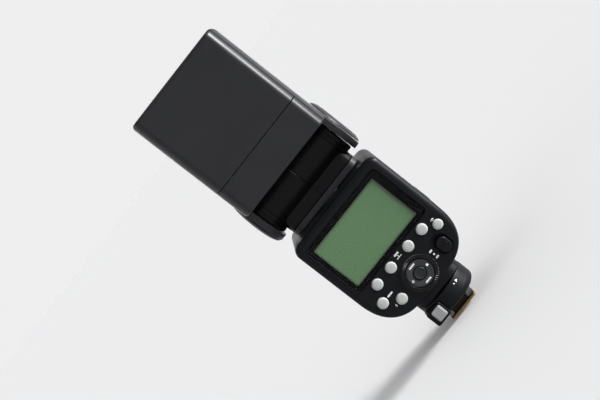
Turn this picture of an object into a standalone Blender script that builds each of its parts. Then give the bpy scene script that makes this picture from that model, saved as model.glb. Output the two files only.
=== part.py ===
"""Speedlight flash for a camera's hot shoe, built as the separate pieces it comes apart into.

The flash stands upright on its foot with the head turned straight up. X points right as seen from
behind, where the display is. Y points forwards, to the side that faces the subject. Z points up.
The origin is the centre of the foot's underside. All lengths are in metres.
"""

from math import copysign, cos, pi, radians, sin, sqrt

import bmesh
import bpy
from mathutils import Matrix, Vector

# ---------------------------------------------------------------- driving dimensions
GAP = 0.0003  # room left between neighbouring pieces
WALL = 0.0020  # plastic wall of the cases
SHARP_FROM = radians(35)  # edges that turn more than this are shaded sharp

# body, as seen from behind
BODY_HALF_WIDTH = 0.0333
BODY_BOTTOM = 0.0228
BODY_TOP = 0.0935
BODY_REAR = -0.0210
BODY_SPLIT = -0.0110  # plane where the rear case meets the front case
BODY_FRONT = 0.0330
BODY_CORNER_Z = 0.0480  # height where the straight sides end and the full lower corners begin
BODY_FLAT = 0.0100  # half the flat of the bottom edge
BODY_CORNER_POWER = 2.4  # a little squarer than an ellipse
BODY_TOP_RADIUS = 0.0050
FRONT_WALL = 0.0025
DOOR_SIDE_WALL = 0.0036  # thicker, so that the battery door lies in a recess

# controls on the rear panel: place across, height
KEY_RADIUS = 0.00315
KEYS = {
    "soft_key_1": (-0.0186, 0.0476, KEY_RADIUS),
    "soft_key_2": (-0.00725, 0.0476, KEY_RADIUS),
    "soft_key_3": (0.00725, 0.0476, KEY_RADIUS),
    "soft_key_4": (0.0186, 0.0476, KEY_RADIUS),
    "wireless_key": (0.0259, 0.0426, 0.00285),
    "menu_key": (-0.0247, 0.0390, KEY_RADIUS),
    "test_key": (-0.0166, 0.0326, KEY_RADIUS),
}
KEY_HEIGHT = 0.0010  # how far a key stands out of the panel
DISPLAY = (-0.0280, 0.0280, 0.0522, 0.0879)  # left, right, bottom, top of the window
DIAL_PLACE = (0.0, 0.0338)
DIAL_RADIUS = 0.0104
DIAL_STEM = 0.0083
DIAL_INNER = 0.0079
SWITCH_PLACE = (0.0196, 0.0343)
SWITCH_RECESS = (0.0091, 0.0121)
SWITCH_KNOB = (0.0067, 0.0095)

# tilt hinge, neck and swivel
TILT_Y = 0.0060
TILT_Z = 0.1160
BARREL_RADIUS = 0.0155
BARREL_HALF = 0.0294
EAR_INNER = 0.0298
AXLE_RADIUS = 0.0050
PEDESTAL = (0.0260, -0.0050, 0.0170)  # half width, rear face, front face
PEDESTAL_RADIUS = 0.0060
SPIGOT_RADIUS = 0.0100

# head
HEAD_HALF_WIDTH = 0.0335
HEAD_REAR = -0.0250
HEAD_FRONT = 0.0234
HEAD_BOTTOM = 0.1236
HEAD_TOP = 0.1990
HEAD_COVER_Y = -0.0210  # plane where the rear cover meets the shell
HEAD_SEAM_Z = 0.1432  # seam between the cover and the band below it
HEAD_REAR_CORNER = (0.0060, 0.0120)  # across and along: the rear corners fall away slowly
HEAD_FRONT_CORNER = (0.0060, 0.0060)
HEAD_WALL = 0.0018
EAR_CAP_RADIUS = 0.0166
EAR_CAP_PROUD = 0.0022

# zoom drive
REFLECTOR_Y = 0.0015
SCREW_PLACE = (-0.0270, 0.0174)

# batteries
CELL_RADIUS = 0.00705
CELL_LENGTH = 0.0504
CELL_PITCH = 0.0146
CELL_FIRST = (0.0034, 0.0390)  # Y and Z of the lower rear cell's axis

# battery door and port cover, on the body's right and left sides
DOOR_LOW, DOOR_HIGH = 0.0309, 0.0632
DOOR_REAR, DOOR_FRONT = -0.0068, 0.0280
DOOR_THICK = 0.0018
DOOR_PIN_RADIUS = 0.00035
PORT_COVER_THICK = 0.0016

# foot
SHOE_WIDTH = 0.0186
SHOE_DEPTH = 0.0180
SHOE_THICK = 0.0020
SHOE_NECK = 0.0124
HOUSING_BOTTOM = 0.0056
HOUSING_TOP = 0.0170
HOUSING_RADIUS = 0.0165
CONTACTS = {  # place across and along, radius, height of the tip
    "centre_contact": (0.0, 0.0, 0.0013, 0.0),
    "data_contact_left": (-0.0044, -0.0032, 0.0008, -0.0005),
    "data_contact_right": (0.0044, -0.0032, 0.0008, -0.0005),
    "data_contact_rear": (0.0, -0.0060, 0.0008, -0.0005),
    "lock_pin": (0.0, 0.0066, 0.0012, -0.0012),
}

# how an outline drawn flat is turned: its own X, Y and thickness point along these
UP = (0.0, 0.0, 0.0)  # +X, +Y, +Z
REAR = (pi / 2, 0.0, 0.0)  # +X, +Z, -Y
RIGHT = (pi / 2, 0.0, pi / 2)  # +Y, +Z, +X
LEFT = (pi / 2, 0.0, -pi / 2)  # -Y, +Z, -X

# finish name: colour, roughness, metallic
FINISHES = {
    "black_plastic": ((0.018, 0.018, 0.020), 0.48, 0.0),
    "charcoal_plastic": ((0.032, 0.033, 0.035), 0.42, 0.0),
    "black_gloss": ((0.008, 0.008, 0.009), 0.18, 0.0),
    "key_grey": ((0.56, 0.58, 0.56), 0.45, 0.0),
    "button_grey": ((0.30, 0.30, 0.30), 0.50, 0.0),
    "lcd_green": ((0.100, 0.190, 0.105), 0.35, 0.0),
    "clear_plastic": ((0.80, 0.84, 0.86), 0.10, 0.0),
    "white_plastic": ((0.85, 0.85, 0.82), 0.55, 0.0),
    "red_window": ((0.16, 0.006, 0.008), 0.15, 0.0),
    "rubber": ((0.020, 0.020, 0.020), 0.80, 0.0),
    "steel": ((0.55, 0.54, 0.52), 0.32, 1.0),
    "mirror_metal": ((0.85, 0.86, 0.88), 0.12, 1.0),
    "brass": ((0.60, 0.42, 0.18), 0.30, 1.0),
    "board_green": ((0.020, 0.120, 0.050), 0.55, 0.0),
    "capacitor_sleeve": ((0.015, 0.020, 0.045), 0.35, 0.0),
    "cell_wrap": ((0.10, 0.13, 0.16), 0.35, 0.3),
}


# ---------------------------------------------------------------- scene and modelling helpers
def empty_scene():
    for thing in list(bpy.data.objects):
        bpy.data.objects.remove(thing)


def new_collection(name, helpers=False):
    group = bpy.data.collections.new(name)
    bpy.context.scene.collection.children.link(group)
    group.hide_render = helpers
    return group


def coloured(name, finish):
    """The piece's own material, from one of the finishes."""
    colour, roughness, metallic = FINISHES[finish]
    material = bpy.data.materials.new(name)
    material.use_nodes = True
    shader = material.node_tree.nodes["Principled BSDF"]
    shader.inputs["Base Color"].default_value = (*colour, 1.0)
    shader.inputs["Roughness"].default_value = roughness
    shader.inputs["Metallic"].default_value = metallic
    return material


def add_piece(name, mesh, place, facing, finish):
    """A new object for a mesh drawn in its own frame. Without a finish it is a cutter."""
    piece = bpy.data.objects.new(name, mesh)
    piece.location = place
    piece.rotation_euler = facing
    if finish:
        mesh.materials.append(coloured(name, finish))
        PARTS.objects.link(piece)
    else:
        HELPERS.objects.link(piece)
        piece.hide_render = True
        piece.display_type = "WIRE"
    return piece


def quarter(centre, radii, start, steps=5, power=2.0):
    """Points round a quarter turn that begins at start quarter turns from +X."""
    points = []
    for step in range(steps + 1):
        angle = (start + step / steps) * pi / 2
        across = copysign(abs(cos(angle)) ** (2 / power), cos(angle))
        along = copysign(abs(sin(angle)) ** (2 / power), sin(angle))
        points.append((centre[0] + radii[0] * across, centre[1] + radii[1] * along))
    return points


def without_repeats(points):
    kept = []
    for point in points:
        if not kept or (Vector(point) - Vector(kept[-1])).length > 1e-6:
            kept.append(point)
    if (Vector(kept[0]) - Vector(kept[-1])).length <= 1e-6:
        kept.pop()
    return kept


def soft_rectangle(left, right, low, high, radii, steps=5):
    """A rectangle's outline with round corners. One radius, or (across, along) for each corner."""
    if not isinstance(radii, (list, tuple)):
        radii = [(radii, radii)] * 4
    (a, b, c, d) = radii
    return without_repeats(
        quarter((left + a[0], low + a[1]), a, 2, steps)
        + quarter((right - b[0], low + b[1]), b, 3, steps)
        + quarter((right - c[0], high - c[1]), c, 0, steps)
        + quarter((left + d[0], high - d[1]), d, 1, steps)
    )


def disc(centre, radius, steps=6):
    """A circle's outline."""
    return soft_rectangle(
        centre[0] - radius, centre[0] + radius, centre[1] - radius, centre[1] + radius, radius, steps
    )


def slab(name, outline, height, place=(0, 0, 0), facing=UP, finish=None, round_top=0, round_low=0, segments=3):
    """An outline given a thickness, with the edges round its far and near faces rounded by a Bevel."""
    build = bmesh.new()
    base = build.faces.new([build.verts.new((x, y, 0.0)) for x, y in outline])
    raised = bmesh.ops.extrude_face_region(build, geom=[base])["geom"]
    bmesh.ops.translate(
        build, vec=(0, 0, height), verts=[item for item in raised if isinstance(item, bmesh.types.BMVert)]
    )
    bmesh.ops.recalc_face_normals(build, faces=build.faces)
    widest = max(round_top, round_low)
    if widest:
        weight = build.edges.layers.float.new("bevel_weight_edge")
        for edge in build.edges:
            heights = [vert.co.z for vert in edge.verts]
            if min(heights) > height / 2:
                edge[weight] = round_top / widest
            elif max(heights) < height / 2:
                edge[weight] = round_low / widest
    mesh = bpy.data.meshes.new(name)
    build.to_mesh(mesh)
    build.free()
    mesh.shade_smooth()
    mesh.set_sharp_from_angle(angle=SHARP_FROM)
    piece = add_piece(name, mesh, place, facing, finish)
    if widest:
        bevel = piece.modifiers.new("rounded_edges", "BEVEL")
        bevel.limit_method = "WEIGHT"
        bevel.width = widest
        bevel.segments = segments
    return piece


def box(name, low, high, finish=None):
    """A block from its lowest to its highest corner."""
    build = bmesh.new()
    bmesh.ops.create_cube(build, size=1.0)
    size = Vector(high) - Vector(low)
    bmesh.ops.scale(build, vec=size, verts=build.verts)
    mesh = bpy.data.meshes.new(name)
    build.to_mesh(mesh)
    build.free()
    return add_piece(name, mesh, (Vector(high) + Vector(low)) / 2, UP, finish)


def turned(name, profile, place=(0, 0, 0), facing=UP, finish=None, steps=24, ring=False):
    """A turned piece. Its profile of (radius, height) runs down the outer side, top to bottom."""
    build = bmesh.new()
    verts = [build.verts.new((radius, 0.0, height)) for radius, height in profile]
    for first, second in zip(verts, verts[1:]):
        build.edges.new((first, second))
    if ring:
        build.edges.new((verts[-1], verts[0]))
    mesh = bpy.data.meshes.new(name)
    build.to_mesh(mesh)
    build.free()
    piece = add_piece(name, mesh, place, facing, finish)
    screw = piece.modifiers.new("turned", "SCREW")
    screw.steps = steps
    screw.render_steps = steps
    screw.use_merge_vertices = True
    screw.merge_threshold = 0.00001
    screw.use_smooth_shade = True
    return piece


def pipe_profile(inner, outer, low, high):
    """The profile of a plain ring or pipe."""
    return [(inner, high), (outer, high), (outer, low), (inner, low)]


def keep_place(piece, parent, parent_matrix):
    """Parents a piece without moving it."""
    piece.parent = parent
    piece.matrix_parent_inverse = parent_matrix.inverted()


def combine(target, operation, others):
    for other in others:
        modifier = target.modifiers.new(other.name, "BOOLEAN")
        modifier.operation = operation
        modifier.object = other
        keep_place(other, target, target.matrix_basis)


def cut(target, *cutters):
    combine(target, "DIFFERENCE", cutters)


def join(target, *helpers):
    combine(target, "UNION", helpers)


def pivot(name, place, parent=None, pieces=()):
    """An empty on a joint's axis, which carries the pieces that move there."""
    empty = bpy.data.objects.new(name, None)
    empty.location = place
    empty.empty_display_size = 0.01
    PARTS.objects.link(empty)
    if parent:
        keep_place(empty, parent, Matrix.Translation(PIVOT_PLACES[parent.name]))
    PIVOT_PLACES[name] = Vector(place)
    for piece in pieces:
        keep_place(piece, empty, Matrix.Translation(Vector(place)))
    return empty


# ---------------------------------------------------------------- body cases
def body_outline(left=0.0, right=0.0, low=0.0, high=0.0):
    """The body seen from behind, each side moved in by the distance given."""
    corner_height = BODY_CORNER_Z - BODY_BOTTOM - low
    left_width = BODY_HALF_WIDTH - left
    right_width = BODY_HALF_WIDTH - right
    top_radius = BODY_TOP_RADIUS - high
    top = BODY_TOP - high
    power = BODY_CORNER_POWER
    return without_repeats(
        quarter((-BODY_FLAT, BODY_CORNER_Z), (left_width - BODY_FLAT, corner_height), 2, 9, power)
        + quarter((BODY_FLAT, BODY_CORNER_Z), (right_width - BODY_FLAT, corner_height), 3, 9, power)
        + quarter((right_width - top_radius, top - top_radius), (top_radius, top_radius), 0, 4)
        + quarter((-left_width + top_radius, top - top_radius), (top_radius, top_radius), 1, 4)
    )


def body_half_width(height, inset):
    """How far the body's side stands from the middle at a height, moved in by inset."""
    width = BODY_HALF_WIDTH - inset
    if height >= BODY_CORNER_Z:
        return width
    down = (BODY_CORNER_Z - height) / (BODY_CORNER_Z - BODY_BOTTOM - inset)
    return BODY_FLAT + (width - BODY_FLAT) * (1 - down**BODY_CORNER_POWER) ** (1 / BODY_CORNER_POWER)


def side_strip(low, high, outer, inner, steps=8):
    """A strip of the body's right side between two heights, from inset outer to inset inner."""
    heights = [low + (high - low) * step / steps for step in range(steps + 1)]
    outside = [(body_half_width(z, outer), z) for z in heights]
    inside = [(body_half_width(z, inner), z) for z in reversed(heights)]
    return outside + inside


def make_rear_case():
    depth = BODY_SPLIT - BODY_REAR
    case = slab(
        "rear_case", body_outline(), depth, (0, BODY_SPLIT, 0), REAR, "black_plastic", round_top=0.0022
    )
    hollow = slab(
        "rear_case_hollow",
        body_outline(WALL, WALL, WALL, WALL),
        depth - WALL + 0.001,
        (0, BODY_SPLIT + 0.001, 0),
        REAR,
    )
    left, right, low, high = DISPLAY
    window = slab(
        "display_opening",
        soft_rectangle(left - GAP, right + GAP, low - GAP, high + GAP, 0.0028),
        0.004,
        (0, BODY_REAR + 0.003, 0),
        REAR,
    )
    cutters = [hollow, window]
    for name, (across, height, radius) in KEYS.items():
        cutters.append(panel_hole(name + "_hole", disc((across, height), radius + GAP, 5)))
    cutters.append(panel_hole("dial_hole", disc(DIAL_PLACE, DIAL_STEM + GAP, 8)))
    across, height = SWITCH_PLACE
    wide, tall = SWITCH_RECESS
    recess = soft_rectangle(
        across - wide / 2, across + wide / 2, height - tall / 2, height + tall / 2, wide / 2 - 0.0001
    )
    cutters.append(panel_hole("switch_hole", recess))
    cut(case, *cutters)


def panel_hole(name, outline):
    return slab(name, outline, 0.004, (0, BODY_REAR + 0.003, 0), REAR)


def make_front_case():
    depth = BODY_FRONT - BODY_SPLIT - GAP
    case = slab(
        "front_case", body_outline(), depth, (0, BODY_FRONT, 0), REAR, "black_plastic", round_low=0.005
    )
    hollow = slab(
        "front_case_hollow",
        body_outline(WALL, DOOR_SIDE_WALL, WALL, WALL),
        depth,
        (0, BODY_FRONT - FRONT_WALL, 0),
        REAR,
    )
    recess = slab(
        "door_recess",
        side_strip(DOOR_LOW - 0.0005, DOOR_HIGH + 0.0008, -0.001, DOOR_THICK + 0.0005),
        DOOR_FRONT + GAP - BODY_SPLIT + 0.0005,
        (0, DOOR_FRONT + GAP, 0),
        REAR,
    )
    opening = box("battery_opening", (0.0240, -0.0046, 0.0322), (0.0400, 0.0260, 0.0612))
    swivel_hole = turned(
        "swivel_hole", [(0, 0.1), (SPIGOT_RADIUS + GAP, 0.1), (SPIGOT_RADIUS + GAP, 0.09), (0, 0.09)],
        (0, TILT_Y, 0), steps=32,
    )
    ports = box("port_opening", (-0.0360, 0.0057, 0.0637), (-0.0300, 0.0243, 0.0843))
    focus = slab(
        "focus_opening", soft_rectangle(-0.0143, 0.0143, 0.0657, 0.0823, 0.0033), 0.006, (0, 0.035, 0), REAR
    )
    sensor = slab("sensor_opening", disc((0, 0.0540), 0.0043), 0.006, (0, 0.035, 0), REAR)
    cut(case, hollow, recess, opening, swivel_hole, ports, focus, sensor)


def make_front_windows():
    front = (0, BODY_FRONT - 0.0002, 0)
    slab(
        "focus_assist_window", soft_rectangle(-0.0140, 0.0140, 0.0660, 0.0820, 0.0030), 0.0022, front, REAR,
        "red_window", round_low=0.0004, segments=2,
    )
    slab(
        "sensor_window", disc((0, 0.0540), 0.0040), 0.0022, front, REAR, "red_window",
        round_low=0.0006, segments=2,
    )


# ---------------------------------------------------------------- display and controls
def make_display():
    left, right, low, high = DISPLAY
    slab(
        "display_window", soft_rectangle(left, right, low, high, 0.0025), 0.0016, (0, BODY_REAR + 0.0017, 0),
        REAR, "black_gloss", round_top=0.0003, segments=1,
    )
    box("display_module", (-0.0262, -0.0190, 0.0540), (0.0262, -0.0146, 0.0857), "lcd_green")


def key_profile(radius, proud):
    """A round key: a slightly domed cap, a stem through the panel and a flange behind it."""
    back = WALL + GAP
    return [
        (0, proud), (radius * 0.75, proud - 0.00008), (radius - 0.0003, proud - 0.0003), (radius, proud - 0.0007),
        (radius, -back), (radius + 0.0008, -back), (radius + 0.0008, -back - 0.0007), (0, -back - 0.0007),
    ]


def make_keys():
    for name, (across, height, radius) in KEYS.items():
        place = (across, BODY_REAR, height)
        key = turned(name, key_profile(radius, KEY_HEIGHT), place, REAR, "key_grey", steps=20)
        pivot(name + "_guide", place, pieces=[key])


def make_dial():
    across, height = DIAL_PLACE
    place = (across, BODY_REAR, height)
    back = WALL + GAP
    ring = turned(
        "dial_ring",
        [
            (DIAL_INNER, 0.0014), (DIAL_RADIUS - 0.0006, 0.0014), (DIAL_RADIUS, 0.0009), (DIAL_RADIUS, GAP),
            (DIAL_STEM, GAP), (DIAL_STEM, -back), (DIAL_STEM + 0.0006, -back),
            (DIAL_STEM + 0.0006, -back - 0.0008), (DIAL_INNER, -back - 0.0008),
        ],
        place, REAR, "black_plastic", steps=36, ring=True,
    )
    pivot("dial_axis", place, pieces=[ring])
    pad_radius = DIAL_INNER - GAP
    set_radius = 0.0034
    deep = back + 0.0008 + 0.0010
    pad = turned(
        "four_way_pad",
        [
            (set_radius + GAP, 0.0009), (pad_radius - 0.0004, 0.0011), (pad_radius, 0.0007), (pad_radius, -deep),
            (pad_radius + 0.0012, -deep), (pad_radius + 0.0012, -deep - 0.0008), (set_radius + GAP, -deep - 0.0008),
        ],
        place, REAR, "black_plastic", steps=32, ring=True,
    )
    pivot("pad_guide", place, pieces=[pad])
    deeper = deep + 0.0008 + 0.0011
    button = turned(
        "set_button",
        [
            (0, 0.0013), (set_radius - 0.0006, 0.0012), (set_radius, 0.0008), (set_radius, -deeper),
            (set_radius + 0.0012, -deeper), (set_radius + 0.0012, -deeper - 0.0006), (0, -deeper - 0.0006),
        ],
        place, REAR, "black_plastic", steps=20,
    )
    pivot("set_guide", place, pieces=[button])


def make_power_switch():
    across, height = SWITCH_PLACE
    wide, tall = SWITCH_KNOB
    recess_tall = SWITCH_RECESS[1]
    low = height - recess_tall / 2 + 0.0002
    plate = soft_rectangle(across - 0.0056, across + 0.0050, low + 0.0010, low + 0.0068, 0.002)
    switch = slab(
        "power_switch", plate, 0.0007, (0, BODY_REAR + WALL + GAP + 0.0007, 0), REAR, "black_plastic"
    )
    knob = slab(
        "switch_knob", soft_rectangle(across - wide / 2, across + wide / 2, low, low + tall, 0.0030),
        0.0037, (0, BODY_REAR + WALL + GAP + 0.0004, 0), REAR, round_top=0.0005, segments=2,
    )
    join(switch, knob)
    pivot("switch_guide", (across, BODY_REAR, height), pieces=[switch])


# ---------------------------------------------------------------- inside the body
def make_boards():
    box("control_board", (-0.0285, -0.0134, 0.0370), (0.0285, -0.0118, 0.0880), "board_green")
    box("main_board", (-0.0265, -0.0096, 0.0380), (0.0265, -0.0080, 0.0840), "board_green")


def make_capacitor():
    radius, half = 0.0105, 0.0220
    lead = 0.0008
    turned(
        "main_capacitor",
        [
            (0, 2 * half), (radius - lead, 2 * half), (radius, 2 * half - lead), (radius, 0.0040),
            (radius - lead, 0.0032), (radius, 0.0024), (radius, lead), (radius - lead, 0), (0, 0),
        ],
        (-half, 0.0080, 0.0736), RIGHT, "capacitor_sleeve", steps=24,
    )


def make_batteries():
    rear, low = CELL_FIRST
    for column in range(2):
        for row in range(2):
            name = f"battery_cell_{2 * row + column + 1}"
            place = (-0.0246, rear + column * CELL_PITCH, low + row * CELL_PITCH)
            nub = 0.0013
            turned(
                name,
                [
                    (0, CELL_LENGTH), (0.0027, CELL_LENGTH), (0.0027, CELL_LENGTH - nub),
                    (CELL_RADIUS - 0.0004, CELL_LENGTH - nub), (CELL_RADIUS, CELL_LENGTH - nub - 0.0004),
                    (CELL_RADIUS, 0.0004), (CELL_RADIUS - 0.0004, 0), (0, 0),
                ],
                place, RIGHT, "cell_wrap", steps=20,
            )
    holder = box("battery_holder", (-0.0263, -0.0050, 0.0311), (0.0246, 0.0265, 0.0620), "black_plastic")
    cut(holder, box("battery_bay", (-0.0255, -0.0042, 0.0317), (0.0300, 0.0257, 0.0611)))
    box("battery_contact_plate", (-0.0253, -0.0030, 0.0330), (-0.0249, 0.0245, 0.0598), "steel")


def make_battery_door():
    hinge = (BODY_HALF_WIDTH - DOOR_THICK / 2, 0.0, 0.0623)
    door = slab(
        "battery_door", side_strip(DOOR_LOW, DOOR_HIGH, 0.0, DOOR_THICK), DOOR_FRONT - DOOR_REAR,
        (0, DOOR_FRONT, 0), REAR, "black_plastic",
    )
    pin_clearance = 0.0002
    bore = slab(
        "hinge_bore", disc((hinge[0], hinge[2]), DOOR_PIN_RADIUS + pin_clearance, 3), 0.06, (0, 0.04, 0), REAR
    )
    cut(door, bore)
    strip = box("door_contact_strip", (0.0269, -0.0010, 0.0360), (0.0274, 0.0225, 0.0570), "steel")
    post_end = BODY_HALF_WIDTH - DOOR_THICK - GAP
    join(strip, box("strip_post", (0.0272, 0.0080, 0.0480), (post_end, 0.0130, 0.0560)))
    pin = slab(
        "door_hinge_pin", disc((hinge[0], hinge[2]), DOOR_PIN_RADIUS, 3), DOOR_FRONT - DOOR_REAR - 0.001,
        (0, DOOR_FRONT - 0.0005, 0), REAR, "steel",
    )
    runner = pivot("door_slide", hinge, pieces=[pin])
    pivot("door_hinge", hinge, runner, pieces=[door, strip])


def make_ports():
    cover_inside = BODY_HALF_WIDTH - PORT_COVER_THICK
    cover = slab(
        "port_cover", soft_rectangle(-0.0240, -0.0060, 0.0640, 0.0840, 0.0020), PORT_COVER_THICK,
        (-cover_inside, 0, 0), LEFT, "rubber", round_top=0.0005, segments=2,
    )
    pivot("port_cover_hinge", (-BODY_HALF_WIDTH, 0.0240, 0.0740), pieces=[cover])
    long, deep = 0.0085, 0.0070
    back = -cover_inside + GAP + long
    turned(
        "sync_socket",
        [(0, long - deep), (0.0013, long - deep), (0.0013, long), (0.0030, long), (0.0030, 0.0), (0, 0)],
        (back, 0.0110, 0.0740), LEFT, "steel", steps=20,
    )
    socket = slab(
        "data_socket", soft_rectangle(-0.0230, -0.0140, 0.0723, 0.0757, 0.0015), long, (back, 0, 0), LEFT, "steel"
    )
    mouth = slab(
        "data_socket_mouth", soft_rectangle(-0.0226, -0.0144, 0.0727, 0.0753, 0.0012), long,
        (back - long + deep, 0, 0), LEFT,
    )
    cut(socket, mouth)


# ---------------------------------------------------------------- foot
def make_foot():
    base = slab(
        "foot_base", soft_rectangle(-0.0162, 0.0162, -0.0140, 0.0140, 0.0090, 6), 0.0100,
        (0, 0, HOUSING_TOP + GAP), UP, "black_plastic",
    )
    body_shape = slab(
        "body_shape", body_outline(-GAP, -GAP, -GAP, -GAP), 0.07, (0, 0.04, 0), REAR
    )
    cut(base, body_shape)
    edge = 0.0012
    floor = HOUSING_BOTTOM + 0.0016
    inner = HOUSING_RADIUS - WALL
    housing = turned(
        "lock_housing",
        [
            (0, floor), (inner, floor), (inner, HOUSING_TOP), (HOUSING_RADIUS - 0.0004, HOUSING_TOP),
            (HOUSING_RADIUS, HOUSING_TOP - 0.0004), (HOUSING_RADIUS, HOUSING_BOTTOM + edge),
            (HOUSING_RADIUS - 0.0004, HOUSING_BOTTOM + 0.0004), (HOUSING_RADIUS - edge, HOUSING_BOTTOM),
            (0, HOUSING_BOTTOM),
        ],
        UP, UP, "black_plastic", steps=36,
    )
    join(housing, box("button_boss", (-0.0164, -0.0170, 0.0059), (-0.0062, -0.0080, 0.0154)))
    pocket = box("button_pocket", (-0.0143, -0.0200, 0.0072), (-0.0072, -0.0050, 0.0147))
    cut(housing, pocket)
    button = slab(
        "release_button", soft_rectangle(-0.0140, -0.0075, 0.0075, 0.0144, 0.0008, 3), 0.0098,
        (0, -0.0085, 0), REAR, "button_grey", round_top=0.0004, segments=2,
    )
    pivot("release_guide", (-0.01075, -0.0183, 0.0109), pieces=[button])
    plate = slab(
        "shoe_plate", soft_rectangle(-SHOE_WIDTH / 2, SHOE_WIDTH / 2, -SHOE_DEPTH / 2, SHOE_DEPTH / 2, 0.0012, 3),
        SHOE_THICK, (0, 0, 0), UP, "steel",
    )
    neck_outline = soft_rectangle(-SHOE_NECK / 2, SHOE_NECK / 2, -0.0085, 0.0085, 0.0012, 3)
    join(plate, slab("shoe_neck", neck_outline, HOUSING_BOTTOM - GAP - 0.0010, (0, 0, 0.0010)))
    for name, (across, along, radius, low) in CONTACTS.items():
        place = (across, along, low)
        contact = turned(
            name, [(0, 0.0095), (radius, 0.0095), (radius, 0.0003), (radius - 0.0003, 0), (0, 0)],
            place, UP, "brass" if name != "lock_pin" else "steel", steps=16,
        )
        pivot(name + "_guide", place, pieces=[contact])
        for target in (plate, housing):
            hole = [(0, 0.012), (radius + GAP, 0.012), (radius + GAP, -0.003), (0, -0.003)]
            cut(target, turned(f"{name}_{target.name}_hole", hole, (across, along, 0), steps=16))


# ---------------------------------------------------------------- neck
def make_neck_half(name, side):
    """One half of the neck: half the hinge barrel and half the pedestal under it."""
    facing = RIGHT if side > 0 else LEFT
    centre = (side * TILT_Y, TILT_Z)
    start = 0.00015
    half = slab(
        name, disc(centre, BARREL_RADIUS, 10), BARREL_HALF - start, (side * start, 0, 0), facing,
        "black_gloss", round_top=0.0006, segments=2,
    )
    wide, rear, front = PEDESTAL
    low = BODY_TOP + 0.0045
    corner = (PEDESTAL_RADIUS, PEDESTAL_RADIUS)
    sharp = (0.0, 0.0)
    if side > 0:
        outline = soft_rectangle(start, wide, rear, front, [sharp, corner, corner, sharp])
    else:
        outline = soft_rectangle(-wide, -start, rear, front, [corner, sharp, sharp, corner])
    join(half, slab(name + "_pedestal", outline, 0.0100, (0, 0, low)))
    inside = slab(
        name + "_inside", disc(centre, BARREL_RADIUS - WALL, 8), BARREL_HALF - WALL, (side * -0.001, 0, 0), facing
    )
    near, far = sorted((side * -0.001, side * (wide - WALL)))
    bore = slab(name + "_bore", disc(centre, AXLE_RADIUS + GAP, 5), 0.04, (0, 0, 0), facing)
    shaft = box(name + "_shaft", (near, rear + WALL, low - 0.001), (far, front - WALL, TILT_Z - 0.008))
    cut(half, inside, bore, shaft)
    return half


def make_neck():
    wide, rear, front = PEDESTAL
    low = BODY_TOP + 0.0006
    base = slab(
        "neck_base", soft_rectangle(-wide, wide, rear, front, PEDESTAL_RADIUS), 0.0036, (0, 0, low), UP,
        "charcoal_plastic",
    )
    spigot = turned(
        "spigot", [(0, 0.002), (SPIGOT_RADIUS, 0.002), (SPIGOT_RADIUS, -0.0075), (0, -0.0075)],
        (0, TILT_Y, low), steps=32,
    )
    wire_way = turned(
        "wire_way", [(0, 0.01), (0.0075, 0.01), (0.0075, -0.01), (0, -0.01)], (0, TILT_Y, low), steps=24
    )
    join(base, spigot)
    cut(base, wire_way)
    retainer = turned(
        "swivel_retainer", pipe_profile(SPIGOT_RADIUS + 0.0002, SPIGOT_RADIUS + 0.0035, 0.0, 0.0016),
        (0, TILT_Y, BODY_TOP - 0.0060), UP, "steel", steps=32, ring=True,
    )
    halves = [make_neck_half("neck_left_half", -1), make_neck_half("neck_right_half", 1)]
    return pivot("swivel_axis", (0, TILT_Y, BODY_TOP), pieces=[base, retainer, *halves])


# ---------------------------------------------------------------- head
def head_section(inset=0.0):
    """The head cut across its length. The rear corners are fuller than the front ones."""
    rear_corner = (HEAD_REAR_CORNER[0] - inset, HEAD_REAR_CORNER[1] - inset)
    front_corner = (HEAD_FRONT_CORNER[0] - inset, HEAD_FRONT_CORNER[1] - inset)
    return soft_rectangle(
        -HEAD_HALF_WIDTH + inset, HEAD_HALF_WIDTH - inset, HEAD_REAR + inset, HEAD_FRONT - inset,
        [rear_corner, rear_corner, front_corner, front_corner], 6,
    )


def barrel_room(name):
    """The cylinder that the head keeps clear of, so that it can tilt round the neck's barrel."""
    return slab(
        name, disc((TILT_Y, TILT_Z), BARREL_RADIUS + 0.0007, 10), 2 * (BARREL_HALF + 0.0002),
        (-BARREL_HALF - 0.0002, 0, 0), RIGHT,
    )


def make_head_shell():
    height = HEAD_TOP - HEAD_BOTTOM
    shell = slab(
        "head_shell", head_section(), height, (0, 0, HEAD_BOTTOM), UP, "black_plastic",
        round_top=0.0012, round_low=0.0010, segments=2,
    )
    floor = HEAD_BOTTOM + 0.0020
    hollow = slab("head_hollow", head_section(HEAD_WALL), height, (0, 0, floor))
    rear = box("head_shell_rear", (-0.04, -0.04, 0.12), (0.04, HEAD_COVER_Y, 0.21))
    mouth = box("neck_clearance", (-EAR_INNER + 0.0001, 0.0150, 0.12), (EAR_INNER - 0.0001, 0.0300, 0.1370))
    cut(shell, hollow, rear, mouth, barrel_room("shell_barrel_room"))
    reach = HEAD_FRONT - TILT_Y
    round_end = (reach, reach)
    shoulder = (0.0030, 0.0030)
    for side, facing in ((-1, LEFT), (1, RIGHT)):
        rear_y, front_y = sorted((side * (TILT_Y - reach), side * HEAD_FRONT))
        ear = slab(
            "ear_right" if side > 0 else "ear_left",
            soft_rectangle(rear_y, front_y, TILT_Z - reach, 0.1330, [round_end, round_end, shoulder, shoulder], 8),
            HEAD_HALF_WIDTH - EAR_INNER, (side * EAR_INNER, 0, 0), facing, round_top=0.0010, segments=2,
        )
        join(shell, ear)
    cut(shell, slab("axle_hole", disc((TILT_Y, TILT_Z), AXLE_RADIUS + 0.0002, 5), 0.08, (-0.04, 0, 0), RIGHT))
    return shell


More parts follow.
